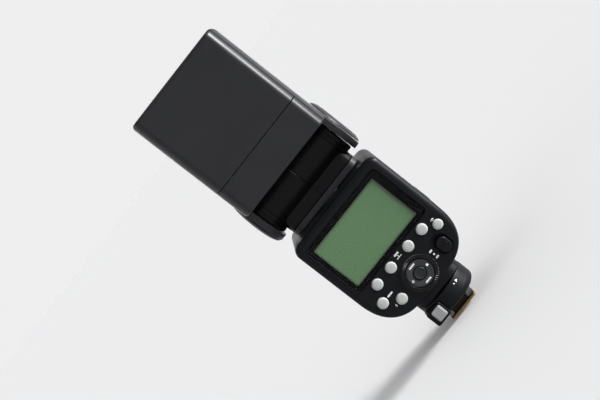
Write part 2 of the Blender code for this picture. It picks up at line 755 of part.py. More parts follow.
def make_head_cover(name, low, high, hollow_low, **edges):
    """A length of the head's rear wall with its rounded corners."""
    cover = slab(name, head_section(), high - low, (0, 0, low), UP, "charcoal_plastic", **edges)
    hollow = slab(name + "_hollow", head_section(HEAD_WALL), 0.1, (0, 0, hollow_low))
    front = box(name + "_front", (-0.04, HEAD_COVER_Y - GAP, 0.11), (0.04, 0.04, 0.21))
    cut(cover, hollow, front)
    return cover


def lens_outline(inset, radius):
    """An outline in the head's mouth, moved in from its inner walls by inset."""
    half = HEAD_HALF_WIDTH - HEAD_WALL - inset
    return soft_rectangle(-half, half, -0.0189 + inset, HEAD_FRONT - HEAD_WALL - inset, radius)


def make_lens():
    low, high = HEAD_TOP - 0.0095, HEAD_TOP - 0.0005
    lens_low, lens_thick = HEAD_TOP - 0.0053, 0.0024
    bezel = slab(
        "lens_bezel", lens_outline(GAP, 0.0038), high - low, (0, 0, low), UP, "black_gloss",
        round_top=0.0005, segments=2,
    )
    opening = slab("lens_opening", lens_outline(0.0033, 0.0030), 0.0200, (0, 0, low - 0.0080))
    seat = slab("lens_seat", lens_outline(0.0018, 0.0030), 0.0200, (0, 0, lens_low + lens_thick + GAP - 0.0200))
    cut(bezel, opening, seat)
    lens = slab(
        "fresnel_lens", lens_outline(0.0022, 0.0028), lens_thick, (0, 0, lens_low), UP, "clear_plastic"
    )
    return [bezel, lens]


def make_pull_outs(head):
    top = HEAD_TOP - 0.0007
    card = slab(
        "bounce_card", soft_rectangle(-0.0250, 0.0250, 0.1515, top, 0.0020), 0.0010, (0, -0.0218, 0), REAR,
        "white_plastic",
    )
    panel = slab(
        "wide_panel", soft_rectangle(-0.0280, 0.0280, 0.1545, top, 0.0020), 0.0013, (0, -0.0199, 0), REAR,
        "clear_plastic",
    )
    pivot("bounce_card_slide", (0, -0.0223, HEAD_TOP), head, [card])
    pivot("wide_panel_slide", (0, -0.0205, HEAD_TOP), head, [panel])


def make_reflector():
    """An open-mouthed dish: rounded rings that grow with the square root of the height."""
    low, high, levels = 0.1490, 0.1710, 6
    build = bmesh.new()
    rings = []
    for level in range(levels + 1):
        share = level / levels
        wide = 0.0140 + 0.0105 * sqrt(share)
        deep = 0.0055 + 0.0100 * sqrt(share)
        outline = soft_rectangle(-wide, wide, -deep, deep, 0.0045, 3)
        rings.append([build.verts.new((x, y, (high - low) * share)) for x, y in outline])
    build.faces.new(list(reversed(rings[0])))
    for lower, upper in zip(rings, rings[1:]):
        for i in range(len(lower)):
            j = (i + 1) % len(lower)
            build.faces.new((lower[i], lower[j], upper[j], upper[i]))
    mesh = bpy.data.meshes.new("flash_reflector")
    build.to_mesh(mesh)
    build.free()
    reflector = add_piece("flash_reflector", mesh, (0, REFLECTOR_Y, low), UP, "mirror_metal")
    sheet = reflector.modifiers.new("sheet", "SOLIDIFY")
    sheet.thickness = 0.0006
    sheet.offset = -1
    holes = slab("tube_holes", disc((REFLECTOR_Y, 0.1545), 0.0025, 4), 0.06, (-0.03, 0, 0), RIGHT)
    cut(reflector, holes)
    return reflector


def make_zoom(head):
    across, along = SCREW_PLACE
    motor = turned(
        "zoom_motor", [(0, 0.0085), (0.0030, 0.0085), (0.0034, 0.0081), (0.0034, 0), (0, 0)],
        (across, along, 0.1335), UP, "steel", steps=20,
    )
    screw = turned(
        "zoom_lead_screw", [(0, 0.0445), (0.0008, 0.0445), (0.0010, 0.0441), (0.0010, 0), (0, 0)],
        (across, along, 0.1424), UP, "steel", steps=12,
    )
    pivot("lead_screw_axis", (across, along, 0.1424), head, [screw])
    carriage = slab(
        "zoom_carriage", soft_rectangle(-0.0304, 0.0304, -0.0125, 0.0206, 0.0030, 3), 0.0024, (0, 0, 0.1462), UP,
        "black_plastic",
    )
    cut(carriage, slab("screw_nut", disc(SCREW_PLACE, 0.0013, 3), 0.01, (0, 0, 0.1430)))
    tube = turned(
        "flash_tube",
        [
            (0, 0.0460), (0.0011, 0.0460), (0.0011, 0.0435), (0.0019, 0.0430), (0.0019, 0.0030),
            (0.0011, 0.0025), (0.0011, 0), (0, 0),
        ],
        (-0.0230, REFLECTOR_Y, 0.1545), RIGHT, "clear_plastic", steps=14,
    )
    pivot("zoom_slide", (0, REFLECTOR_Y, 0.1462), head, [carriage, make_reflector(), tube])
    return motor


def make_ear_cap(name, side):
    facing = RIGHT if side > 0 else LEFT
    radius = EAR_CAP_RADIUS
    proud = EAR_CAP_PROUD
    return turned(
        name,
        [
            (0, proud), (radius - 0.0026, proud), (radius - 0.0008, proud - 0.0005),
            (radius, proud - 0.0013), (radius, 0), (0, 0),
        ],
        (side * (HEAD_HALF_WIDTH + GAP), TILT_Y, TILT_Z), facing, "black_plastic", steps=32,
    )


def make_head(neck):
    shell = make_head_shell()
    cover = make_head_cover(
        "head_rear_cover", HEAD_SEAM_Z + 0.00015, HEAD_TOP, HEAD_SEAM_Z - 0.01, round_top=0.0012, segments=2
    )
    band = make_head_cover(
        "head_rear_band", HEAD_BOTTOM, HEAD_SEAM_Z - 0.00015, HEAD_BOTTOM + 0.0020, round_low=0.0008, segments=2
    )
    caps = [make_ear_cap("ear_cap_left", -1), make_ear_cap("ear_cap_right", 1)]
    axle = turned(
        "tilt_axle", pipe_profile(0.0036, AXLE_RADIUS, 0.0, 2 * HEAD_HALF_WIDTH - 0.0004),
        (-HEAD_HALF_WIDTH + 0.0002, TILT_Y, TILT_Z), RIGHT, "steel", steps=20, ring=True,
    )
    tilt_axis = pivot("tilt_axis", (0, TILT_Y, TILT_Z), neck)
    motor = make_zoom(tilt_axis)
    make_pull_outs(tilt_axis)
    for piece in [shell, cover, band, axle, motor, *caps, *make_lens()]:
        keep_place(piece, tilt_axis, Matrix.Translation(PIVOT_PLACES["tilt_axis"]))


# ---------------------------------------------------------------- the whole flash
empty_scene()
PARTS = new_collection("speedlight_flash")
HELPERS = new_collection("cutters", helpers=True)
PIVOT_PLACES = {}

make_rear_case()
make_front_case()
make_front_windows()
make_display()
make_keys()
make_dial()
make_power_switch()
make_boards()
make_capacitor()
make_batteries()
make_battery_door()
make_ports()
make_foot()
make_head(make_neck())
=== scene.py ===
# %% [markdown]
# # A speedlight flash, dressed round its working model
# The flash is finished as a set of frame bodies that already turn, slide and press in the right places.
# This lesson builds the skin that a person sees: the moulded cases, the display, the keys and the dial, the
# neck, the head and the foot. A maker would start from those bodies too, because a case that is drawn
# round its mechanism always fits it. So the first step loads the bodies and measures them.

from math import asin, copysign, cos, pi, radians, sin, sqrt, tau

import bmesh
import bpy
from mathutils import Matrix, Vector


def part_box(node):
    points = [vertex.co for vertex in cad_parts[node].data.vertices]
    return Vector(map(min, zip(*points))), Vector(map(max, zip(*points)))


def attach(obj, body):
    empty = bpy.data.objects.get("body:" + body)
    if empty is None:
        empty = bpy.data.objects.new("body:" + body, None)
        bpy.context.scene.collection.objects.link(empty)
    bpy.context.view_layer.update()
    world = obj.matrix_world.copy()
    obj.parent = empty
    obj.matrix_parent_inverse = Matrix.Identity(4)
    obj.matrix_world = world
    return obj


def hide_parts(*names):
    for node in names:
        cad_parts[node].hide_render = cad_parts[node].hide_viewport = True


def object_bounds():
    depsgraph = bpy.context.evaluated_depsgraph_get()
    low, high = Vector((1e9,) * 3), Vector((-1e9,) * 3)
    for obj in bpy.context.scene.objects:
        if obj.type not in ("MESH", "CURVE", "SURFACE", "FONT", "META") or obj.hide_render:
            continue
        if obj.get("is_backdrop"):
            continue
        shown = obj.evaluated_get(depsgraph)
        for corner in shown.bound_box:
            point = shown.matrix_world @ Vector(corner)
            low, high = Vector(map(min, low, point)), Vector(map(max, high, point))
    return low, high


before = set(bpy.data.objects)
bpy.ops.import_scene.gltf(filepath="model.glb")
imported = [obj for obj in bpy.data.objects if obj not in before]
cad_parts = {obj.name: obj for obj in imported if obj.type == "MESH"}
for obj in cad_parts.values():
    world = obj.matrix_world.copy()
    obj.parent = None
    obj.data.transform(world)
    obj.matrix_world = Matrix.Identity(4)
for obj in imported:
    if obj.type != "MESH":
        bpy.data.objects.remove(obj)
CAD_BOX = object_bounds()
GAP = 0.0003  # air between neighbouring mouldings

# %% [markdown]
# ## Camera, floor and light
# A catalogue shows a flash from close by, with a short telephoto lens so that its sides stay
# parallel. Here the camera looks at the display a few degrees from the right and from above, and is rolled
# over, so that the flash leans across the picture. The roll turns the camera and not the flash, because
# the flash has to stand on its foot in the frame of its joints.

# %% Camera
def direction(azimuth, height):
    """A unit vector: azimuth 0 points along -Y and 90 along +X, and height is the angle above the floor."""
    a, h = radians(azimuth), radians(height)
    return Vector((sin(a) * cos(h), -cos(a) * cos(h), sin(h)))


def aim(azimuth, elevation, roll, distance, target):
    """A camera matrix, seen from the direction given, with the picture rolled round its centre."""
    back = direction(azimuth, elevation)
    right = Vector((0, 0, 1)).cross(back).normalized()
    up = back.cross(right)
    r = radians(roll)
    matrix = Matrix((right * cos(r) + up * sin(r), up * cos(r) - right * sin(r), back)).transposed().to_4x4()
    matrix.translation = Vector(target) + back * distance
    return matrix


camera = bpy.data.objects.new("camera", bpy.data.cameras.new("camera"))
bpy.context.scene.collection.objects.link(camera)
camera.data.lens = 78.3
camera.data.sensor_width = 36.0
camera.data.clip_start = 0.01
camera.matrix_world = aim(
    azimuth=4.0, elevation=6.5, roll=-52.1, distance=0.70, target=(-0.0100, 0.0, 0.1051)
)
bpy.context.scene.camera = camera
bpy.context.scene.view_settings.view_transform = "Standard"
print("camera at", [round(c, 3) for c in camera.location])

# %% [markdown]
# The floor is a wide pale disc at the height of the lowest contact pin. An even light from straight above, as
# from a lit ceiling, makes it one tone out to the horizon, and the sky is that same tone there, so no line
# shows where they meet. Higher up the sky is darker, which keeps the black plastic black. The modelling comes
# from one large soft light, low on the right of the display, where a window would be. It grazes the floor
# and draws the long highlights down the right-hand edges. Two weak ones open the left side and the front.
#
# A finish is a small network of nodes. One helper adds a node and fills its inputs, either with a value or by
# a link from another node, so that the recipes below read as lists of what goes into what.

# %% Nodes
def shader_of(material):
    return material.node_tree.nodes["Principled BSDF"]


def connect(owner, source, target):
    owner.node_tree.links.new(source, target)


def add_node(owner, kind, **inputs):
    """Adds a shader node. Each input takes a value, or the output socket of another node."""
    node = owner.node_tree.nodes.new("ShaderNode" + kind)
    for name, given in inputs.items():
        socket = node.inputs[name.replace("_", " ")]
        if isinstance(given, bpy.types.NodeSocket):
            connect(owner, given, socket)
        else:
            socket.default_value = given
    return node


def object_place(owner):
    """The point being shaded, in the object's own metres."""
    return add_node(owner, "TexCoord").outputs["Object"]


# %% Floor, sky and lamps
FLOOR_TONE = 0.86  # what the lit floor comes out as, so the sky is this tone at the horizon
HORIZON, OVERHEAD = 0.24, 0.55  # where the sky starts and stops darkening, as a share of straight up


def make_floor(radius=14.0, low=CAD_BOX[0].z):
    build = bmesh.new()
    bmesh.ops.create_circle(build, cap_ends=True, radius=radius, segments=96)
    mesh = bpy.data.meshes.new("floor")
    build.to_mesh(mesh)
    build.free()
    floor = bpy.data.objects.new("floor", mesh)
    floor.location.z = low
    bpy.context.scene.collection.objects.link(floor)
    paint = bpy.data.materials.new("pale_floor")
    paint.use_nodes = True
    shader_of(paint).inputs["Base Color"].default_value = (0.80, 0.80, 0.805, 1.0)
    shader_of(paint).inputs["Roughness"].default_value = 1.0
    shader_of(paint).inputs["Specular IOR Level"].default_value = 0.0
    mesh.materials.append(paint)
    floor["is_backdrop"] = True


def make_sky(zenith=(0.204, 0.206, 0.210)):
    world = bpy.data.worlds.new("pale_sky")
    world.use_nodes = True
    split = add_node(world, "SeparateXYZ", Vector=add_node(world, "TexCoord").outputs["Generated"])
    sky = add_node(world, "ValToRGB", Fac=split.outputs["Z"])
    low, high = sky.color_ramp.elements
    sky.color_ramp.interpolation = "EASE"
    low.position, low.color = HORIZON, (FLOOR_TONE, FLOOR_TONE, FLOOR_TONE * 1.006, 1.0)
    high.position, high.color = OVERHEAD, (*zenith, 1.0)
    connect(world, sky.outputs["Color"], world.node_tree.nodes["Background"].inputs["Color"])
    bpy.context.scene.world = world


def make_sun(name, azimuth, height, spread, strength):
    """Parallel light from a direction, with its angles in degrees. A wide spread makes a soft shadow."""
    lamp = bpy.data.objects.new(name, bpy.data.lights.new(name, "SUN"))
    lamp.data.angle = radians(spread)
    lamp.data.energy = strength
    lamp.rotation_euler = direction(azimuth, height).to_track_quat("Z", "Y").to_euler()
    bpy.context.scene.collection.objects.link(lamp)


make_floor()
make_sky()
make_sun("ceiling_light", azimuth=0, height=90, spread=70, strength=0.56)
make_sun("window_light", azimuth=80, height=6, spread=22, strength=14.0)
make_sun("left_fill", azimuth=-60, height=25, spread=60, strength=0.25)
make_sun("back_fill", azimuth=205, height=28, spread=60, strength=0.30)
print("floor at", round(CAD_BOX[0].z, 4))

# %% [markdown]
# ## Finishes
# Most of the flash is one black plastic, moulded in a tool whose surface was spark-eroded. That leaves a very
# fine grain, which spreads the highlight. Two noise textures make it: a fine one feeds a bump, and a broad
# one shifts the roughness a little, as hands and dust do. Everything that is the same all over, such as the
# sheen or the refractive index, is set on the shader itself.

# %% Grained plastics
FINISH = {}
NOISE_LOW, NOISE_HIGH = 0.3, 0.7  # the range that nearly all of a noise texture falls in
BROAD_SCALE = 55.0


def add_noise(material, scale, detail=3.0):
    noise = add_node(material, "TexNoise", Vector=object_place(material), Scale=scale, Detail=detail)
    return noise.outputs["Fac"]


def add_range(material, source, low, high):
    """Stretches a noise's usual values to run from low to high."""
    spread = add_node(
        material, "MapRange", Value=source, From_Min=NOISE_LOW, From_Max=NOISE_HIGH, To_Min=low, To_Max=high
    )
    return spread.outputs["Result"]


def add_tint(material, source, dark, light):
    tint = material.node_tree.nodes.new("ShaderNodeMix")
    tint.data_type = "RGBA"
    tint.inputs["A"].default_value = (*dark, 1.0)
    tint.inputs["B"].default_value = (*light, 1.0)
    connect(material, source, tint.inputs["Factor"])
    connect(material, tint.outputs["Result"], shader_of(material).inputs["Base Color"])


def shade(colour, factor):
    return tuple(min(1.0, channel * factor) for channel in colour)


def finish(
    name, colour, roughness, metallic=0.0, grain=2600.0, depth=0.000012, spread=0.05, mottle=0.08,
    speckled=False, **sockets,
):
    """A moulded or rolled surface with a fine grain, whose roughness drifts by spread and tone by mottle.

    The tone drifts slowly or, on a speckled surface, from grain to grain.
    """
    material = bpy.data.materials.new(name)
    material.use_nodes = True
    shader = shader_of(material)
    shader.inputs["Metallic"].default_value = metallic
    for socket, value in sockets.items():
        shader.inputs[socket.replace("_", " ")].default_value = value
    fine = add_noise(material, grain)
    broad = add_noise(material, BROAD_SCALE, 4.0)
    bump = add_node(material, "Bump", Height=fine, Distance=depth, Strength=1.0)
    connect(material, bump.outputs["Normal"], shader.inputs["Normal"])
    drift = add_range(material, broad, roughness - spread, roughness + spread)
    connect(material, drift, shader.inputs["Roughness"])
    toned = add_range(material, fine if speckled else broad, 0.0, 1.0)
    add_tint(material, toned, shade(colour, 1 - mottle), shade(colour, 1 + mottle))
    FINISH[name] = material
    return material


finish("black_plastic", (0.0028, 0.0031, 0.0042), 0.40, Specular_IOR_Level=0.12)
finish("charcoal_plastic", (0.0112, 0.0115, 0.0130), 0.35, Specular_IOR_Level=0.22)
finish("black_gloss", (0.0006, 0.0006, 0.0008), 0.24, depth=0.0000005, spread=0.02, Specular_IOR_Level=0.03)
finish("button_grey", (0.23, 0.235, 0.235), 0.45)
finish("white_plastic", (0.84, 0.84, 0.81), 0.55, mottle=0.02)
finish("rubber", (0.017, 0.017, 0.017), 0.78, grain=1800.0, depth=0.00002)
finish("board_green", (0.015, 0.10, 0.045), 0.45, grain=900.0)
finish("capacitor_sleeve", (0.012, 0.018, 0.040), 0.32)
finish("cell_wrap", (0.09, 0.12, 0.15), 0.30, metallic=0.3)
print("plastics", sorted(FINISH))

# %% [markdown]
# The keys are frosted silicone, lit through from behind in use, so a little light travels inside them. A
# finer and deeper grain than the case's gives the sugary look of the frosting.

# %% Keys, ink and windows
finish(
    "key_grey", (0.31, 0.32, 0.31), 0.60, grain=1500.0, depth=0.00005, mottle=0.16, speckled=True,
    Subsurface_Weight=0.15, Subsurface_Scale=0.0008,
)
finish("white_ink", (0.74, 0.75, 0.75), 0.5, mottle=0.03)
finish(
    "red_window", (0.10, 0.004, 0.006), 0.10, depth=0.000002, spread=0.02,
    Coat_Weight=0.6, Coat_Roughness=0.05,
)


def make_clear(name, colour, roughness, alpha):
    """Clear plastic seen against what lies behind it: mostly transparent, with its gloss kept."""
    finish(name, colour, roughness, grain=700.0, depth=0.0000002, spread=0.01, mottle=0.02, Alpha=alpha)


make_clear("clear_plastic", (0.80, 0.84, 0.86), 0.10, 0.35)
make_clear("display_glass", (0.02, 0.02, 0.02), 0.12, 0.06)
print("windows and clear plastics added, finishes so far", len(FINISH))

# %% [markdown]
# The liquid crystal panel is unlit. Its green is even, with a painted shade along the rim, where the frame
# round it keeps some light off. The painted shade reaches further in at the right and the top. The tone is
# worked out from the distance to each of the panel's four sides.

# %% Liquid crystal panel
LCD_GREEN = (0.076, 0.159, 0.069)
# the darker green is a painted shade, the frame's shadow on the panel's rim
LCD_PAINTED_SHADE = (0.030, 0.055, 0.026)
PAINTED_SHADE_NEAR, PAINTED_SHADE_FAR = 0.0012, 0.0018  # how far the shade reaches in from the near and the far sides


def make_lcd(low, high):
    material = finish("lcd_green", LCD_GREEN, 0.42, grain=5200.0, depth=0.000004, mottle=0.03)
    split = add_node(material, "SeparateXYZ", Vector=object_place(material))
    # painted shade: the green fades to the darker tone near each side, further in at the right and the top
    sides = [("X", low.x, PAINTED_SHADE_NEAR), ("X", high.x, -PAINTED_SHADE_FAR)]
    sides += [("Z", low.z, PAINTED_SHADE_NEAR), ("Z", high.z, -PAINTED_SHADE_FAR)]
    lit = None
    for axis, edge, reach in sides:
        fade = add_node(material, "MapRange", Value=split.outputs[axis], From_Min=edge, From_Max=edge + reach)
        fade.interpolation_type = "SMOOTHSTEP"
        rim = fade.outputs["Result"]
        if lit:
            times = add_node(material, "Math")
            times.operation = "MULTIPLY"
            connect(material, lit, times.inputs[0])
            connect(material, rim, times.inputs[1])
            rim = times.outputs["Value"]
        lit = rim
    add_tint(material, lit, LCD_PAINTED_SHADE, LCD_GREEN)


# %% [markdown]
# Metals. The shoe plate is stamped and plated, then rubbed by every camera it slides into, so its plating is
# worn through to a warm copper tone along its lower edge. The height in the plate says where that is, and the
# noises are stretched along the sliding direction into fine streaks.

# %% Metals
def make_metal(name, colour, roughness, streak=(1.0, 1.0, 1.0), depth=0.00001):
    material = finish(name, colour, roughness, metallic=1.0, grain=1500.0, depth=depth, mottle=0.12)
    for node in [n for n in material.node_tree.nodes if n.type == "TEX_NOISE"]:
        stretch = add_node(material, "Mapping", Vector=object_place(material), Scale=streak)
        connect(material, stretch.outputs["Vector"], node.inputs["Vector"])
    return material


def make_shoe_metal(plated=(0.014, 0.012, 0.010), worn=(0.22, 0.135, 0.060), edge_height=0.0010):
    material = make_metal("shoe_metal", plated, 0.36, streak=(6.0, 0.4, 1.0))
    split = add_node(material, "SeparateXYZ", Vector=object_place(material))
    edge = add_node(
        material, "MapRange", Value=split.outputs["Z"], From_Min=edge_height + 0.0004, From_Max=edge_height
    )
    add_tint(material, edge.outputs["Result"], plated, worn)


make_metal("steel", (0.55, 0.54, 0.52), 0.32)
make_metal("mirror_metal", (0.85, 0.86, 0.88), 0.12, depth=0.000002)
make_metal("brass", (0.60, 0.42, 0.18), 0.28)
make_shoe_metal()
print("finishes", len(FINISH))


# %% [markdown]
# ## Tools for moulded shapes
# Nearly every piece here is a flat outline given a thickness, or a profile turned round an axis, with softly
# rounded edges. A mould maker works the same way: a profile, a depth, and a radius on every edge. So each
# shape is a stack of rings. A ring is the outline moved in a little, and a flat face closes each end of the
# stack. This puts the points of a rounded edge exactly where they are wanted, which a bevel does not do where
# the radius changes along the edge.

# %% Outlines
SAME_POINT = 2e-6  # points nearer than this would make a face with no area


def quarter(centre, radii, start, steps=8, power=2.0):
    """Points round a quarter turn that begins at start quarter turns from +X."""
    points = []
    for step in range(steps + 1):
        angle = (start + step / steps) * pi / 2
        across = copysign(abs(cos(angle)) ** (2 / power), cos(angle))
        along = copysign(abs(sin(angle)) ** (2 / power), sin(angle))
        points.append((centre[0] + radii[0] * across, centre[1] + radii[1] * along))
    return points


def without_repeats(points):
    kept = []
    for point in points:
        if not kept or (Vector(point) - Vector(kept[-1])).length > SAME_POINT:
            kept.append(point)
    if (Vector(kept[0]) - Vector(kept[-1])).length <= SAME_POINT:
        kept.pop()
    return kept


def soft_rectangle(left, right, low, high, radii, steps=8):
    """A rectangle's outline with round corners. One radius, or (across, along) for each corner."""
    if not isinstance(radii, (list, tuple)):
        radii = [(radii, radii)] * 4
    (a, b, c, d) = radii
    return without_repeats(
        quarter((left + a[0], low + a[1]), a, 2, steps)
        + quarter((right - b[0], low + b[1]), b, 3, steps)
        + quarter((right - c[0], high - c[1]), c, 0, steps)
        + quarter((left + d[0], high - d[1]), d, 1, steps)
    )


def circle(centre, radius, count=48):
    angles = [tau * i / count for i in range(count)]
    return [(centre[0] + radius * cos(a), centre[1] + radius * sin(a)) for a in angles]


def moved_in(outline, by):
    """The outline with each point moved in along its normal, by a distance or a function of the point."""
    moved = []
    for i, point in enumerate(outline):
        here = Vector(point)
        before = (here - Vector(outline[i - 1])).normalized()
        after = (Vector(outline[(i + 1) % len(outline)]) - here).normalized()
        along = (before + after).normalized()
        inward = Vector((-along.y, along.x))
        lean = max(0.4, inward.dot(Vector((-before.y, before.x))))
        distance = by(here) if callable(by) else by
        moved.append(tuple(here + inward * distance / lean))
    return moved


smaller = moved_in(circle((0, 0), 0.002), 0.0005)[0]
print("a circle of 2 mm, moved in by 0.5 mm, starts at", [round(c * 1000, 2) for c in smaller], "mm")

# %% [markdown]
# An outline is drawn lying flat. A facing then turns it so that its thickness grows up, out of the back panel
# or out of either side.

# %% Stacks of rings
UP = ((1, 0, 0), (0, 1, 0), (0, 0, 1))
REAR = ((1, 0, 0), (0, 0, 1), (0, -1, 0))
RIGHT = ((0, 1, 0), (0, 0, 1), (1, 0, 0))
LEFT = ((0, -1, 0), (0, 0, 1), (-1, 0, 0))
ROUND_ANGLES = [k / 5 * pi / 2 for k in range(6)]
SHARP_FROM = radians(40)


def placed(facing, place):
    matrix = Matrix(facing).transposed().to_4x4()
    matrix.translation = Vector(place)
    return matrix


def smooth(mesh):
    mesh.shade_smooth()
    mesh.set_sharp_from_angle(angle=SHARP_FROM)


def new_piece(name, build):
    bmesh.ops.recalc_face_normals(build, faces=build.faces)
    mesh = bpy.data.meshes.new(name)
    build.to_mesh(mesh)
    build.free()
    smooth(mesh)
    piece = bpy.data.objects.new(name, mesh)
    bpy.context.scene.collection.objects.link(piece)
    return piece


def add_stack(build, rings, matrix, loop=False):
    """Skins a stack of rings, and closes it with end faces or, as a loop, onto its own start."""
    loops = [[build.verts.new(matrix @ Vector(point)) for point in ring] for ring in rings]
    pairs = list(zip(loops, loops[1:])) + ([(loops[-1], loops[0])] if loop else [])
    for lower, upper in pairs:
        for i in range(len(lower)):
            j = (i + 1) % len(lower)
            build.faces.new((lower[i], lower[j], upper[j], upper[i]))
    if not loop:
        build.faces.new(list(reversed(loops[0])))
        build.faces.new(loops[-1])


def levels(outline, *steps):
    """Rings of one outline, each at a height and moved in by a distance, or out by a negative one."""
    return [[(x, y, height) for x, y in moved_in(outline, by)] for height, by in steps]


def stack(name, rings, place=(0, 0, 0), facing=UP, loop=False):
    build = bmesh.new()
    add_stack(build, rings, placed(facing, place), loop)
    return new_piece(name, build)


def edge_size(edge):
    """How far a rounded edge reaches in, and how far along the thickness."""
    if isinstance(edge, tuple):
        return edge
    return edge, edge


def slab_rings(outline, thick, near=0.0, far=0.0):
    """near and far round the edges at the start and the end of the thickness: a radius or (inset, depth)."""
    rings = []
    for edge, base, way in ((near, 0.0, 1), (far, thick, -1)):
        inset, depth = edge_size(edge)
        found = []
        for angle in ROUND_ANGLES if depth else [pi / 2]:
            share = 1 - sin(angle)
            level = base + way * depth * (1 - cos(angle))
            by = (lambda p, s=share: inset(p) * s) if callable(inset) else inset * share
            found += levels(outline, (level, by))
        rings += found if way > 0 else found[::-1]
    return rings


def slab(name, outline, thick, place=(0, 0, 0), facing=UP, near=0.0, far=0.0):
    return stack(name, slab_rings(outline, thick, near, far), place, facing)


def turned(name, profile, place=(0, 0, 0), facing=UP, count=64, ring=False):
    """A turned piece, from a profile of (radius, height) that runs along its outer side."""
    rings = [[(x, y, height) for x, y in circle((0, 0), radius, count)] for radius, height in profile]
    return stack(name, rings, place, facing, loop=ring)


def block(name, low, high):
    low, high = Vector(low), Vector(high)
    outline = [(low.x, low.y), (high.x, low.y), (high.x, high.y), (low.x, high.y)]
    return slab(name, outline, high.z - low.z, (0, 0, low.z))


print("facings ready")

# %% [markdown]
# Openings are cut and bosses are joined with Boolean modifiers, which are applied at once, so that each piece
# ends as one plain mesh. A Weighted Normal then makes the large flat faces shade flat right up to their
# rounded edges, which is what a moulding looks like.

# %% Cutting, joining and dressing
def apply_all(piece):
    graph = bpy.context.evaluated_depsgraph_get()
    shape = bpy.data.meshes.new_from_object(piece.evaluated_get(graph))
    piece.modifiers.clear()
    piece.data = shape


def combine(target, operation, others):
    for other in others:
        modifier = target.modifiers.new(other.name, "BOOLEAN")
        modifier.operation = operation
        modifier.object = other
    apply_all(target)
    for other in others:
        bpy.data.objects.remove(other)
    smooth(target.data)


def carve(target, *cutters):
    combine(target, "DIFFERENCE", cutters)


def weld(target, *others):
    combine(target, "UNION", others)


def trim(target, other):
    combine(target, "INTERSECT", [other])


def dress(piece, finish_name, body, *nodes, slot=None):
    """Gives a piece its finish and its body, and hides the frame nodes that it stands for."""
    piece.data.materials.clear()
    piece.data.materials.append(FINISH[finish_name])
    weighted = piece.modifiers.new("flat_faces_stay_flat", "WEIGHTED_NORMAL")
    weighted.keep_sharp = True
    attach(piece, body)
    if nodes:
        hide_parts(*nodes)
    return piece


def inked(name, outlines, place, facing, body, thick=0.00008):
    """Printed marks: each is a film of ink, half sunk in the surface."""
    build = bmesh.new()
    for outline in outlines:
        add_stack(build, slab_rings(outline, thick), placed(facing, place))
    return dress(new_piece(name, build), "white_ink", body, slot="white_plastic")


def middle(node):
    low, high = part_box(node)
    return (low + high) / 2


print("neck barrel's axis runs through", [round(c, 4) for c in middle("tilt_axle")])

# %% [markdown]
# ## The head's shell
# The head is a box with a rounded rectangular section that carries the lamp. On the real flash its front and
# sides are one moulding with two ears that reach down over the hinge barrel, and the back is closed by a
# separate cover. It could be modelled by pushing points of a cube about, with subdivision for the corners.
# Here the section is one outline taken from the frame's own sizes: the rear corners are ellipses that fall
# away slowly, and the front ones are round. The inside is hollow, so the lens can be looked into.

# %% Sizes of the head
HEAD_LOW, HEAD_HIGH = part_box("head_shell")
COVER_LOW, COVER_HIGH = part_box("head_rear_cover")
BAND_LOW, BAND_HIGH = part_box("head_rear_band")
HEAD_HALF = HEAD_HIGH.x
HEAD_REAR = COVER_LOW.y
HEAD_FRONT = HEAD_HIGH.y
HEAD_TOP = COVER_HIGH.z
HEAD_BOTTOM = BAND_LOW.z
COVER_PLANE = HEAD_LOW.y
HEAD_WALL = 0.0018
REAR_CORNER = (0.0060, 0.0120)
FRONT_CORNER = (0.0060, 0.0060)
AXLE = middle("tilt_axle")
EAR_INNER = 0.0298
BARREL_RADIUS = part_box("neck_right_half")[1].z - AXLE.z
EAR_TOP = 0.1330
AXLE_HOLE = 0.0052
print("head", round(2000 * HEAD_HALF, 1), "mm wide,", round(1000 * (HEAD_TOP - HEAD_BOTTOM), 1), "mm long")


def head_section(inset=0.0):
    rear = (REAR_CORNER[0] - inset, REAR_CORNER[1] - inset)
    front = (FRONT_CORNER[0] - inset, FRONT_CORNER[1] - inset)
    half = HEAD_HALF - inset
    return soft_rectangle(-half, half, HEAD_REAR + inset, HEAD_FRONT - inset, [rear, rear, front, front], 12)


# %% [markdown]
# Seen from behind, the two top corners of the head are rounded as well. A slab with that silhouette trims
# each piece that reaches up to them, so that all of them share one corner.

# %% Head shell
TOP_CORNER = 0.0036


def trim_top_corners(piece):
    sharp, soft = (0.0, 0.0), (TOP_CORNER, TOP_CORNER)
    half = HEAD_HALF + 0.0001
    silhouette = soft_rectangle(-half, half, 0.09, HEAD_TOP + 0.0001, [sharp, sharp, soft, soft], 10)
    trim(piece, slab("silhouette", silhouette, 0.08, (0, 0.04, 0), REAR))


def make_ear(name, side):
    facing = RIGHT if side > 0 else LEFT
    reach = HEAD_FRONT - AXLE.y
    rear_y, front_y = sorted((side * (AXLE.y - reach), side * HEAD_FRONT))
    shoulder = (0.0030, 0.0030)
    corners = [(reach, reach), (reach, reach), shoulder, shoulder]
    outline = soft_rectangle(rear_y, front_y, AXLE.z - reach, EAR_TOP, corners, 20)
    return slab(name, outline, HEAD_HALF - EAR_INNER, (side * EAR_INNER, 0, 0), facing, far=0.0006)


